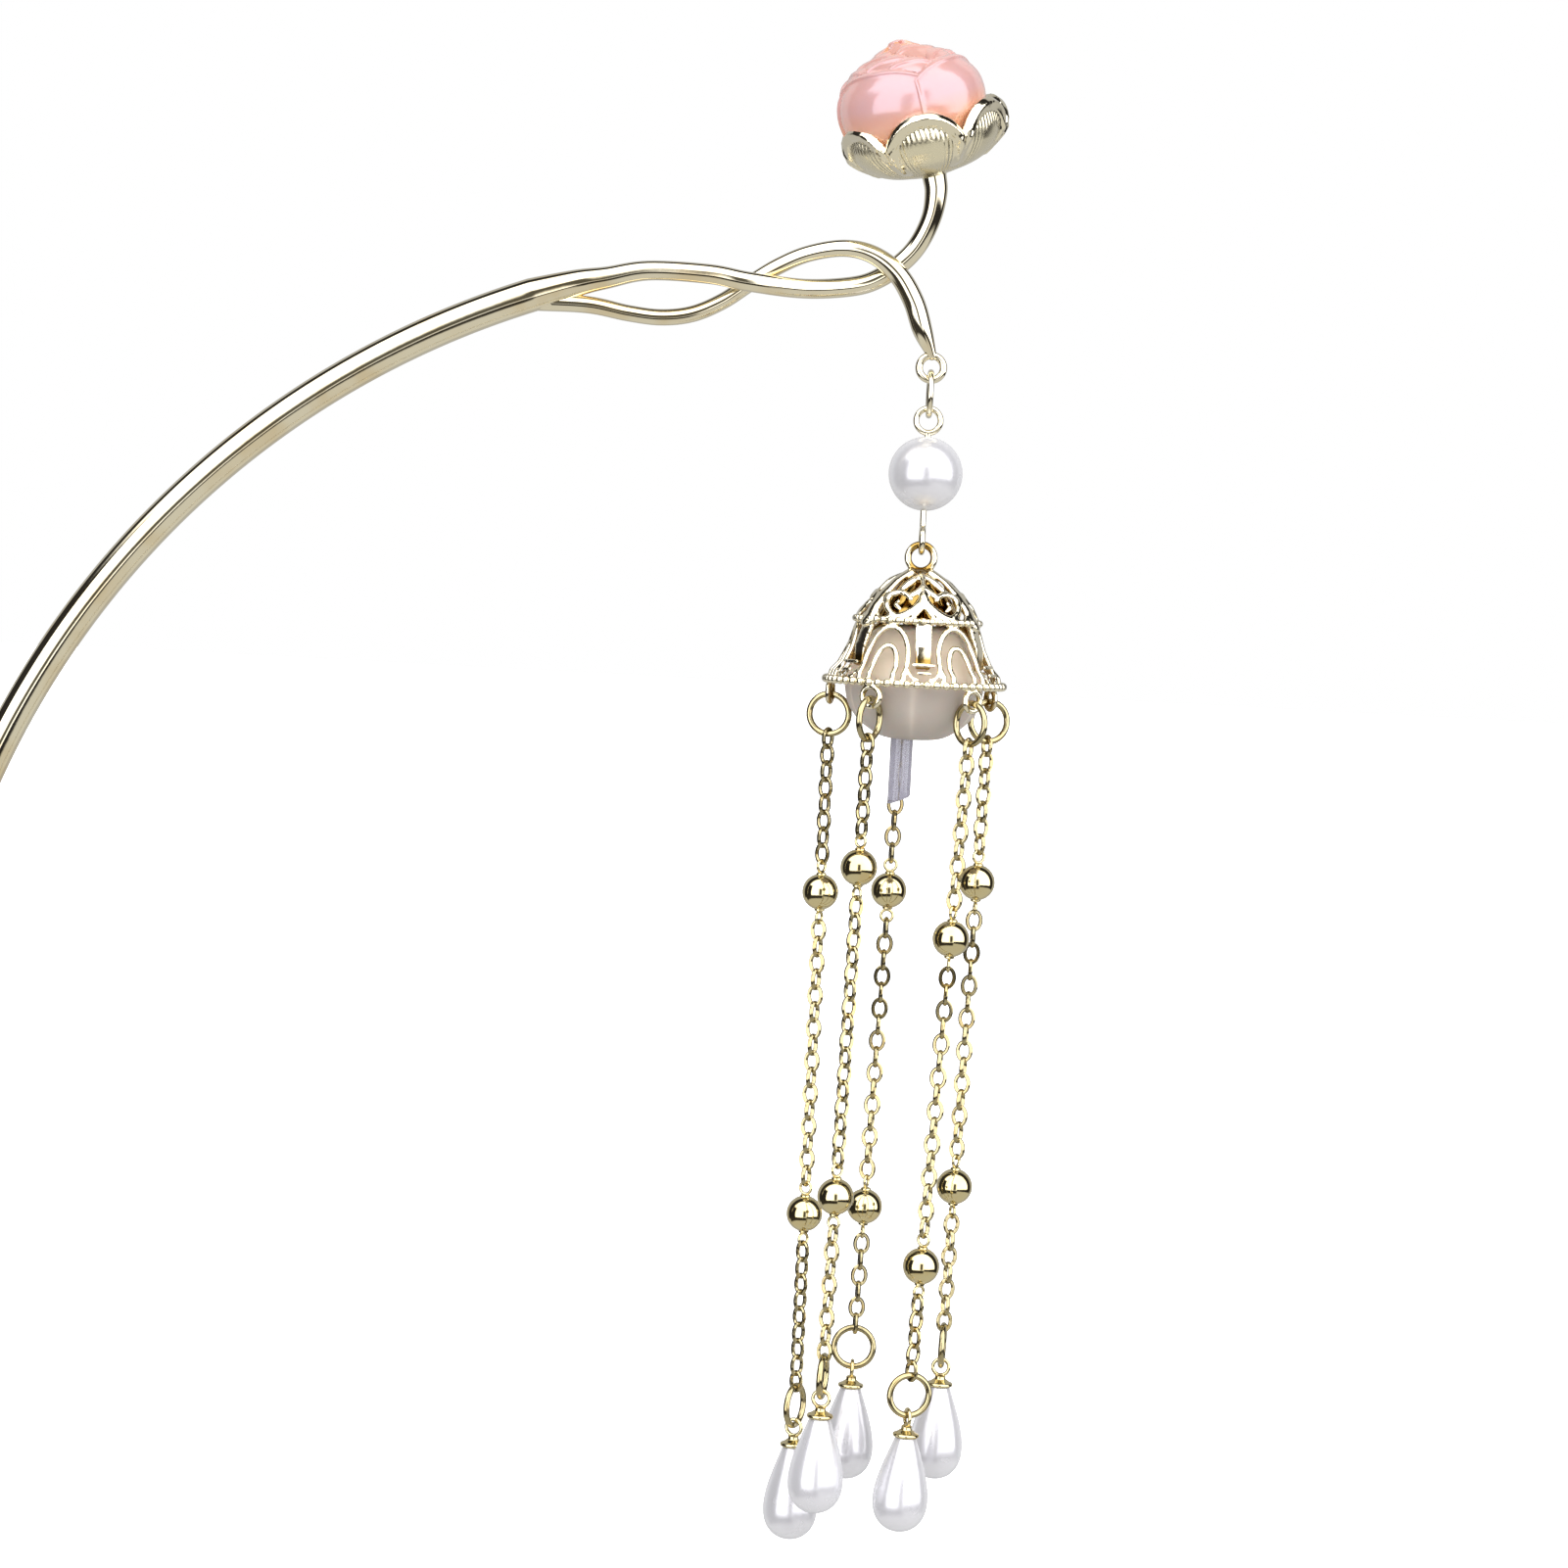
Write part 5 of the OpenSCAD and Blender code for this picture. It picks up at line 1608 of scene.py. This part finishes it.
def bead_tree():
    """Geometry nodes: beads side by side round a circle."""
    tree, given, result = new_group(
        "Bead rim", "GeometryNodeTree",
        {"Geometry": "Geometry", "Bead Diameter": 1 * MM, "Material": "Material"},
        {"Geometry": "Geometry"},
    )
    radius = tree.math("MULTIPLY", given["Bead Diameter"], 0.5)
    bead = tree.add("GeometryNodeMeshUVSphere", {"Segments": 10, "Rings": 7, "Radius": radius})
    smooth = tree.add("GeometryNodeSetShadeSmooth", {"Geometry": bead.outputs["Mesh"]})
    beads = tree.add("GeometryNodeInstanceOnPoints", {
        "Points": given["Geometry"], "Instance": smooth.outputs["Geometry"],
    })
    return realized(tree, beads.outputs["Instances"], given, result)


def by_nodes(name, points, group, inputs, turns=None):
    """An object whose mesh a geometry node tree makes from points, as a plain mesh."""
    mesh = bpy.data.meshes.new(name)
    mesh.from_pydata([tuple(point) for point in points], [], [])
    if turns is not None:
        attribute = mesh.attributes.new("turn", "FLOAT_VECTOR", "POINT")
        attribute.data.foreach_set("vector", np.asarray(turns, dtype=np.float32).ravel())
    piece = bpy.data.objects.new(name, mesh)
    bpy.context.collection.objects.link(piece)
    modifier = piece.modifiers.new(group.name, "NODES")
    modifier.node_group = group
    for item in group.interface.items_tree:
        if item.item_type == "SOCKET" and item.in_out == "INPUT" and item.name in inputs:
            modifier[item.identifier] = inputs[item.name]
    return settle(piece)


class HAIRPIN_OT_cap(bpy.types.Operator):
    """Build the pierced cap with its crown, skirt, rims and ears"""

    bl_idname = "hairpin.cap"
    bl_label = "Cap"

    def execute(self, context):
        """Fuses the strokes into one casting and adds the beads of both rims."""
        s = sizes("cap")
        z = heights()
        seat = hanging(z["cap_top"])
        shapes = crown_strokes() + skirt_strokes() + cap_fittings(z)
        cap = fused("cap_casting", joined(shapes), s.grain)
        points = coordinates(cap.data)
        outline, _ = cap_surface(np.zeros(len(points)), -points[:, 2])
        # Painted shade: points that lie under the cap's outer face, in its hollows and inside it, take
        # the darker gold
        below = -outline[:, 1] - np.hypot(points[:, 0], points[:, 1])
        paint(cap.data, "hollow", ramp(below, -HOLLOW_SHADE_START, HOLLOW_SHADE_FADE))
        cap.data.transform(seat)
        dress(cap, cast_pale_gold, DROP, "pale_gold", "cap")
        group = bead_tree()
        for name, radius, depth, bead_d in (
            ("cap_upper_beads", s.crown_r + BEAD_OUT, s.crown_h, s.upper_bead_d),
            ("cap_lower_beads", s.cap_r + BEAD_OUT, s.crown_h + s.skirt_h, s.bead_d),
        ):
            count = round(2 * math.pi * radius / (bead_d * BEAD_PITCH))
            points, _ = moved((circle(-depth * UP, radius, RIGHT, BACK, count), []), seat)
            inputs = {"Bead Diameter": bead_d, "Material": finished(cast_pale_gold)}
            beads = by_nodes(name, points, group, inputs)
            # The beads lie on the outer face and get no painted shade
            paint(beads.data, "hollow", np.zeros(len(beads.data.vertices)))
            dress(beads, cast_pale_gold, DROP, "pale_gold")
        return {"FINISHED"}


def flower_shape():
    """The lobed flower with its top at the origin, and how deep its creases are at each point."""
    s = sizes("cap")
    outline = spline(FLOWER_ROWS)
    angles = np.linspace(0, 2 * math.pi, 240, endpoint=False)
    wave = np.abs(np.cos(FLOWER_LOBES / 2 * (angles - FLOWER_TURN) + math.pi / 2))
    crease = (1 - wave) ** 3
    fade = np.sin(math.pi * np.clip(outline[:, 1:], 0, 1)) ** CREASE_FADE
    radius = outline[:, :1] * s.flower_r * (1 - CREASE_DEPTH * crease * fade)
    height = -outline[:, 1:] * s.flower_h + 0 * angles
    rings = np.stack([radius * np.sin(angles), -radius * np.cos(angles), height], -1)
    seam = (crease ** 2 * np.clip(fade * SEAM_GAIN, 0, 1))[:-1].ravel()
    return skin(rings[:-1], (0, 0, 0), (0, 0, -s.flower_h)), np.append(seam, [0, SEAM_FOOT])


class HAIRPIN_OT_flower(bpy.types.Operator):
    """Build the frosted flower and the clear rod under it"""

    bl_idname = "hairpin.flower"
    bl_label = "Flower and rod"

    def execute(self, context):
        """Turns a lobed flower and a rod with rounded edges."""
        s = sizes("cap")
        z = heights()
        shape, seam = flower_shape()
        place = hanging(z["cap_top"] - s.flower_drop)
        flower = mesh_object("bell_flower_resin", moved(shape, place))
        paint(flower.data, "seam", seam)
        # Painted warm light from the gold cap, on the flower above the lower rim
        above_rim = coordinates(flower.data)[:, 2] - z["lower_rim"]
        paint(flower.data, "warm", np.clip(above_rim / GOLD_BOUNCE_RIM + 0.5, 0, 1))
        dress(flower, frosted_resin, DROP, "frosted_flower", "bell_flower")
        low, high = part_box("rod")
        r = s.rod_d / 2
        tall = high.z - low.z
        outline = ([(0, 0)] + arc((r - ROD_EDGE, ROD_EDGE), ROD_EDGE, -90, 0, steps=5)
                   + arc((r - ROD_EDGE, tall - ROD_EDGE), ROD_EDGE, 0, 90, steps=5) + [(0, tall)])
        points, faces = lathe(outline)
        points[:, 2] += np.where(points[:, 2] < tall / 2, (points[:, 0] + r) * ROD_CUT, 0)
        place = Matrix.Translation(((low.x + high.x) / 2, (low.y + high.y) / 2, low.z))
        rod = mesh_object("rod_glass", moved((points, faces), place))
        dress(rod, clear_glass, DROP, "clear_rod", "rod")
        return {"FINISHED"}


def stretched(tree, curve, width, height):
    """A curve stretched to a width and a height."""
    size = tree.add("ShaderNodeCombineXYZ", {"X": width, "Y": height, "Z": 1.0})
    inputs = {"Geometry": curve, "Scale": size.outputs["Vector"]}
    return tree.add("GeometryNodeTransform", inputs).outputs["Geometry"]


def chain_tree():
    """Geometry nodes: oval links of flattened wire at points that hold their own turn."""
    tree, given, result = new_group(
        "Cable chain", "GeometryNodeTree",
        {"Geometry": "Geometry", "Link Length": 2 * MM, "Link Width": 1.4 * MM,
         "Wire Height": 0.3 * MM, "Wire Depth": 0.3 * MM, "Material": "Material"},
        {"Geometry": "Geometry"},
    )
    oval = tree.add("GeometryNodeCurvePrimitiveCircle", {"Resolution": 24, "Radius": 0.5})
    wire = tree.add("GeometryNodeCurvePrimitiveCircle", {"Resolution": 8, "Radius": 0.5})
    flats = tree.add("GeometryNodeTransform", {
        "Geometry": wire.outputs["Curve"], "Rotation": (0.0, 0.0, math.pi / 8),
    })
    link = tree.add("GeometryNodeCurveToMesh", {
        "Curve": stretched(tree, oval.outputs["Curve"], given["Link Width"], given["Link Length"]),
        "Profile Curve": stretched(tree, flats.outputs["Geometry"], given["Wire Height"],
                                   given["Wire Depth"]),
    })
    upright = tree.add("GeometryNodeTransform", {
        "Geometry": link.outputs["Mesh"], "Rotation": (math.pi / 2, 0.0, 0.0),
    })
    turn = tree.add("GeometryNodeInputNamedAttribute", {"Name": "turn"}, data_type="FLOAT_VECTOR")
    links = tree.add("GeometryNodeInstanceOnPoints", {
        "Points": given["Geometry"], "Instance": upright.outputs["Geometry"],
        "Rotation": turn.outputs["Attribute"],
    })
    return realized(tree, links.outputs["Instances"], given, result)


class HAIRPIN_OT_chains(bpy.types.Operator):
    """Build the links of the five chains"""

    bl_idname = "hairpin.chains"
    bl_label = "Chains"

    def execute(self, context):
        """Places each link by the strand's own frame."""
        s = sizes("link")
        group = chain_tree()
        inputs = {
            "Link Length": s.oval_len,
            "Link Width": s.oval_w,
            "Wire Height": s.oval_t,
            "Wire Depth": s.oval_depth,
            "Material": finished(shaded_chain_gold),
        }
        for i in range(STRANDS):
            place = strand_frame(i)
            points = []
            turns = []
            for height, turn in strand_layout(i)["links"]:
                points.append(place @ Vector((0, 0, height)))
                turns.append((place @ Matrix.Rotation(turn, 4, "Z")).to_euler())
            chain = by_nodes(f"chain_links_{i + 1}", points, group, inputs, turns)
            dress(chain, shaded_chain_gold, DROP, "yellow_gold", f"chain_{i + 1}")
        return {"FINISHED"}


def ball_shape(upper_turn, lower_turn):
    """A ball with a drawn neck and an eye at each end."""
    s = sizes("link")
    r = s.ball_d / 2
    neck = s.ball_neck_d / 2
    top = s.frame_ball_d / 2 + s.ball_neck_h
    half = [(share_of_neck * neck, top - depth * MM) for share_of_neck, depth in NECK_ROWS]
    half += arc((0, 0), r, math.degrees(math.acos(neck / r)), 0, steps=12)
    outline = half + [(a, -b) for a, b in reversed(half[:-1])]
    eye = top + s.ball_eye_d / 2
    wire_d = s.link_wire_d * BALL_EYE_WIRE
    return [lathe(outline, sides=40)] + [
        wire_ring(height, s.ball_eye_d, wire_d, turn, steps=24, sides=10)
        for height, turn in ((eye, upper_turn), (-eye, lower_turn))
    ]


class HAIRPIN_OT_balls(bpy.types.Operator):
    """Build the two balls of each strand"""

    bl_idname = "hairpin.balls"
    bl_label = "Balls"

    def execute(self, context):
        """Turns each ball and unites it with its eyes."""
        for i in range(STRANDS):
            for name, (z, upper, lower) in zip(("upper_ball", "lower_ball"),
                                               strand_layout(i)["balls"]):
                place = strand_frame(i) @ Matrix.Translation((0, 0, z))
                shapes = [moved(shape, place) for shape in ball_shape(upper, lower)]
                ball = united(f"{name}_{i + 1}_hollow", shapes)
                dress(ball, yellow_gold, DROP, "yellow_gold", f"{name}_{i + 1}")
        return {"FINISHED"}


class HAIRPIN_OT_rings(bpy.types.Operator):
    """Build the rings at both ends of each strand"""

    bl_idname = "hairpin.rings"
    bl_label = "Rings"

    def execute(self, context):
        """Bends a ring for each end."""
        s = sizes("link")
        for i in range(STRANDS):
            layout = strand_layout(i)
            for name, z, turn in (("top_ring", layout["top_ring"], 0.0),
                                  ("drop_ring", layout["drop_ring"], layout["ring_turn"])):
                ring = wire_ring(z, s.ring_look_d, s.ring_look_wire_d, turn, steps=56)
                piece = mesh_object(f"{name}_{i + 1}_wire", moved(ring, strand_frame(i)))
                dress(piece, shaded_chain_gold, DROP, "yellow_gold", f"{name}_{i + 1}")
        return {"FINISHED"}


def drop_cap_outline():
    """The cap on a teardrop: its peg, its flange and the neck under its eye."""
    s = sizes("teardrop")
    f = s.flange_d / 2
    n = s.neck_d / 2
    t = s.flange_t
    peg = [(0, -PEG_LEN), (PEG_R, -PEG_LEN), (PEG_R, 0), (f - t / 2, 0)]
    rim = arc((f - t / 2, t / 2), t / 2, -80, 80, steps=7)
    shoulder = [(f * a, t * b) for a, b in FLANGE_ROWS]
    return peg + rim + shoulder + [(n * a, t + s.neck_h * b) for a, b in DROP_NECK_ROWS]


def teardrop_outline():
    """A teardrop with its cut top at the origin."""
    s = sizes("teardrop")
    angles = np.linspace(s.drop_top, math.pi, 44)[:-1]
    depth = (math.cos(s.drop_top) - np.cos(angles)) / (math.cos(s.drop_top) + 1)
    width = s.drop_d / 2 * drop_share(angles) / drop_share(np.linspace(0, math.pi, 200)).max()
    return [(0, 0), *zip(width, -s.drop_len * depth), (0, -s.drop_len)]


def drop_share(angles):
    """Width of a teardrop at angles along it, up to a factor."""
    return np.sin(angles) * np.sin(angles / 2) ** sizes("teardrop").drop_slimness


class HAIRPIN_OT_teardrops(bpy.types.Operator):
    """Build the teardrops and the flanged caps that carry them"""

    bl_idname = "hairpin.teardrops"
    bl_label = "Teardrops"

    def execute(self, context):
        """Turns each cap and each teardrop."""
        s = sizes("teardrop")
        seat_gap = Matrix.Translation((0, 0, -sizes("link").seat))
        bead = lathe(teardrop_outline(), sides=64)
        base = lathe(drop_cap_outline(), sides=40)
        for i in range(STRANDS):
            eye = strand_layout(i)["eye"]
            turn = strand_layout(i)["ring_turn"] + math.pi / 2
            place = strand_frame(i)
            foot = place @ Matrix.Translation((0, 0, eye - s.eye_d / 2 - s.neck_h - s.flange_t))
            ring = wire_ring(eye, s.eye_d, s.eye_wire_d, turn, steps=32, sides=10)
            cap = united(f"drop_cap_{i + 1}_turned", [moved(base, foot), moved(ring, place)])
            dress(cap, yellow_gold, DROP, "yellow_gold", f"drop_cap_{i + 1}")
            piece = mesh_object(f"teardrop_{i + 1}_bead", moved(bead, foot @ seat_gap))
            dress(piece, teardrop_lacquer, DROP, "pearl_white", f"teardrop_{i + 1}")
        return {"FINISHED"}


def panel_group():
    """A soft-edged panel of light in the world, by its limits in degrees."""
    names = [*PANEL_LIMITS, *sum(PANEL_LIMITS.values(), ()), "Soft"]
    tree, given, result = new_group(
        "Light panel", "ShaderNodeTree", dict.fromkeys(names, 0.0), {"Mask": "Float"}
    )
    mask = 1.0
    for value, limits in PANEL_LIMITS.items():
        for limit, sign in zip(limits, (1, -1)):
            distance = tree.math("SUBTRACT", given[value], given[limit])
            inside = tree.math("DIVIDE", tree.math("MULTIPLY", distance, sign), given["Soft"])
            mask = tree.math("MULTIPLY", mask, tree.smooth_step(inside, -0.5, 0.5))
    tree.feed(result, {"Mask": mask})
    return tree.tree


class HAIRPIN_OT_stage(bpy.types.Operator):
    """Set up the camera, the pale floor and the studio light"""

    bl_idname = "hairpin.stage"
    bl_label = "Stage"

    def execute(self, context):
        """Places the camera as the photograph has it."""
        s = sizes("stage")
        scene = context.scene
        scene.view_settings.view_transform = "Standard"
        forward = Vector((0, math.cos(s.tilt), -math.sin(s.tilt)))
        level_up = Vector((0, math.sin(s.tilt), math.cos(s.tilt)))
        up = math.cos(s.roll) * level_up - math.sin(s.roll) * Vector((1, 0, 0))
        right = forward.cross(up)
        data = bpy.data.cameras.new("camera")
        data.lens = data.sensor_width * s.distance / s.frame_w
        data.clip_start = CAMERA_CLIP
        camera = bpy.data.objects.new("camera", data)
        scene.collection.objects.link(camera)
        turn = Matrix((right, up, -forward)).transposed().to_4x4()
        camera.matrix_world = Matrix.Translation(CAMERA_TARGET - forward * s.distance) @ turn
        scene.camera = camera
        self.floor(s.floor_z)
        self.light(scene, s.key)
        return {"FINISHED"}

    def floor(self, height):
        """A pale floor that lies well under the teardrops."""
        corners = [(x * FLOOR_HALF, y * FLOOR_HALF, height)
                   for x, y in ((-1, -1), (1, -1), (1, 1), (-1, 1))]
        mesh = bpy.data.meshes.new("floor")
        mesh.from_pydata(corners, [], [(0, 1, 2, 3)])
        mesh.materials.append(finished(pale_floor))
        floor = bpy.data.objects.new("floor", mesh)
        bpy.context.collection.objects.link(floor)
        floor.visible_diffuse = False
        floor.visible_glossy = False
        floor.visible_transmission = False

    def light(self, scene, key):
        """A light tent: broad pale panels with darker gaps between them."""
        world = bpy.data.worlds.new("Light tent")
        scene.world = world
        world.use_nodes = True
        world.node_tree.nodes.clear()
        tree = Tree(world.node_tree)
        direction = tree.add("ShaderNodeTexCoord").outputs["Generated"]
        axes = tree.add("ShaderNodeSeparateXYZ", {"Vector": direction}).outputs
        forwards = tree.math("MULTIPLY", axes["Y"], -1.0)
        values = {
            "Azimuth": tree.math("DEGREES", tree.math("ARCTAN2", axes["X"], forwards)),
            "Elevation": tree.math("DEGREES", tree.math("ARCSINE", axes["Z"])),
            "Reach": tree.math("DEGREES", tree.math("ARCCOSINE", forwards)),
        }
        group = panel_group()
        light = GAP_LIGHT
        for *limits, soft, tint, strength in LIGHT_PANELS:
            inputs = {**values, "Soft": soft}
            for names, pair in zip(PANEL_LIMITS.values(), limits):
                inputs.update(zip(names, pair))
            mask = tree.add("ShaderNodeGroup", inputs, node_tree=group).outputs["Mask"]
            light = tree.mix(mask, light, tuple(c * strength * key for c in tint))
        path = tree.add("ShaderNodeLightPath").outputs
        soft_light = tree.mix(1.0, light, (DIFFUSE_SHARE,) * 3, "MULTIPLY")
        soft_light = tree.mix(1.0, soft_light, (DIFFUSE_FILL,) * 3, "ADD")
        light = tree.mix(path["Is Diffuse Ray"], light, soft_light)
        backdrop = tree.mix(path["Is Camera Ray"], light, (1.0, 1.0, 1.0))
        shader = tree.add("ShaderNodeBackground", {"Color": backdrop})
        tree.add("ShaderNodeOutputWorld", {"Surface": shader.outputs["Background"]})


OPERATORS = (
    HAIRPIN_OT_stage,
    HAIRPIN_OT_pin,
    HAIRPIN_OT_calyx,
    HAIRPIN_OT_bud,
    HAIRPIN_OT_pearl,
    HAIRPIN_OT_cap,
    HAIRPIN_OT_flower,
    HAIRPIN_OT_chains,
    HAIRPIN_OT_balls,
    HAIRPIN_OT_rings,
    HAIRPIN_OT_teardrops,
)


class HAIRPIN_PT_panel(bpy.types.Panel):
    """Lists the pieces and their sizes"""

    bl_label = "Hairpin"
    bl_idname = "HAIRPIN_PT_panel"
    bl_space_type = "VIEW_3D"
    bl_region_type = "UI"
    bl_category = "Hairpin"

    def draw(self, context):
        """Draws a button for each piece, and each group of settings."""
        for operator in OPERATORS:
            self.layout.operator(operator.bl_idname)
        for name, group in GROUPS.items():
            box = self.layout.box()
            box.label(text=group.__doc__)
            settings = sizes(name)
            for key in group.__annotations__:
                box.prop(settings, key)


def register():
    """Registers the property groups, the operators and the panel."""
    for name, group in GROUPS.items():
        bpy.utils.register_class(group)
        setattr(bpy.types.Scene, "hairpin_" + name, PointerProperty(type=group))
    for operator in OPERATORS:
        bpy.utils.register_class(operator)
    bpy.utils.register_class(HAIRPIN_PT_panel)


def unregister():
    """Takes back what register did."""
    bpy.utils.unregister_class(HAIRPIN_PT_panel)
    for operator in reversed(OPERATORS):
        bpy.utils.unregister_class(operator)
    for name, group in reversed(GROUPS.items()):
        delattr(bpy.types.Scene, "hairpin_" + name)
        bpy.utils.unregister_class(group)


def main():
    """Registers the add-on, then builds the stage and every piece."""
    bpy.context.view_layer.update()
    register()
    bpy.ops.hairpin.stage()
    bpy.ops.hairpin.pin()
    bpy.ops.hairpin.calyx()
    bpy.ops.hairpin.bud()
    bpy.ops.hairpin.pearl()
    bpy.ops.hairpin.cap()
    bpy.ops.hairpin.flower()
    bpy.ops.hairpin.chains()
    bpy.ops.hairpin.balls()
    bpy.ops.hairpin.rings()
    bpy.ops.hairpin.teardrops()
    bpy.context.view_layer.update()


if __name__ == "__main__":
    main()
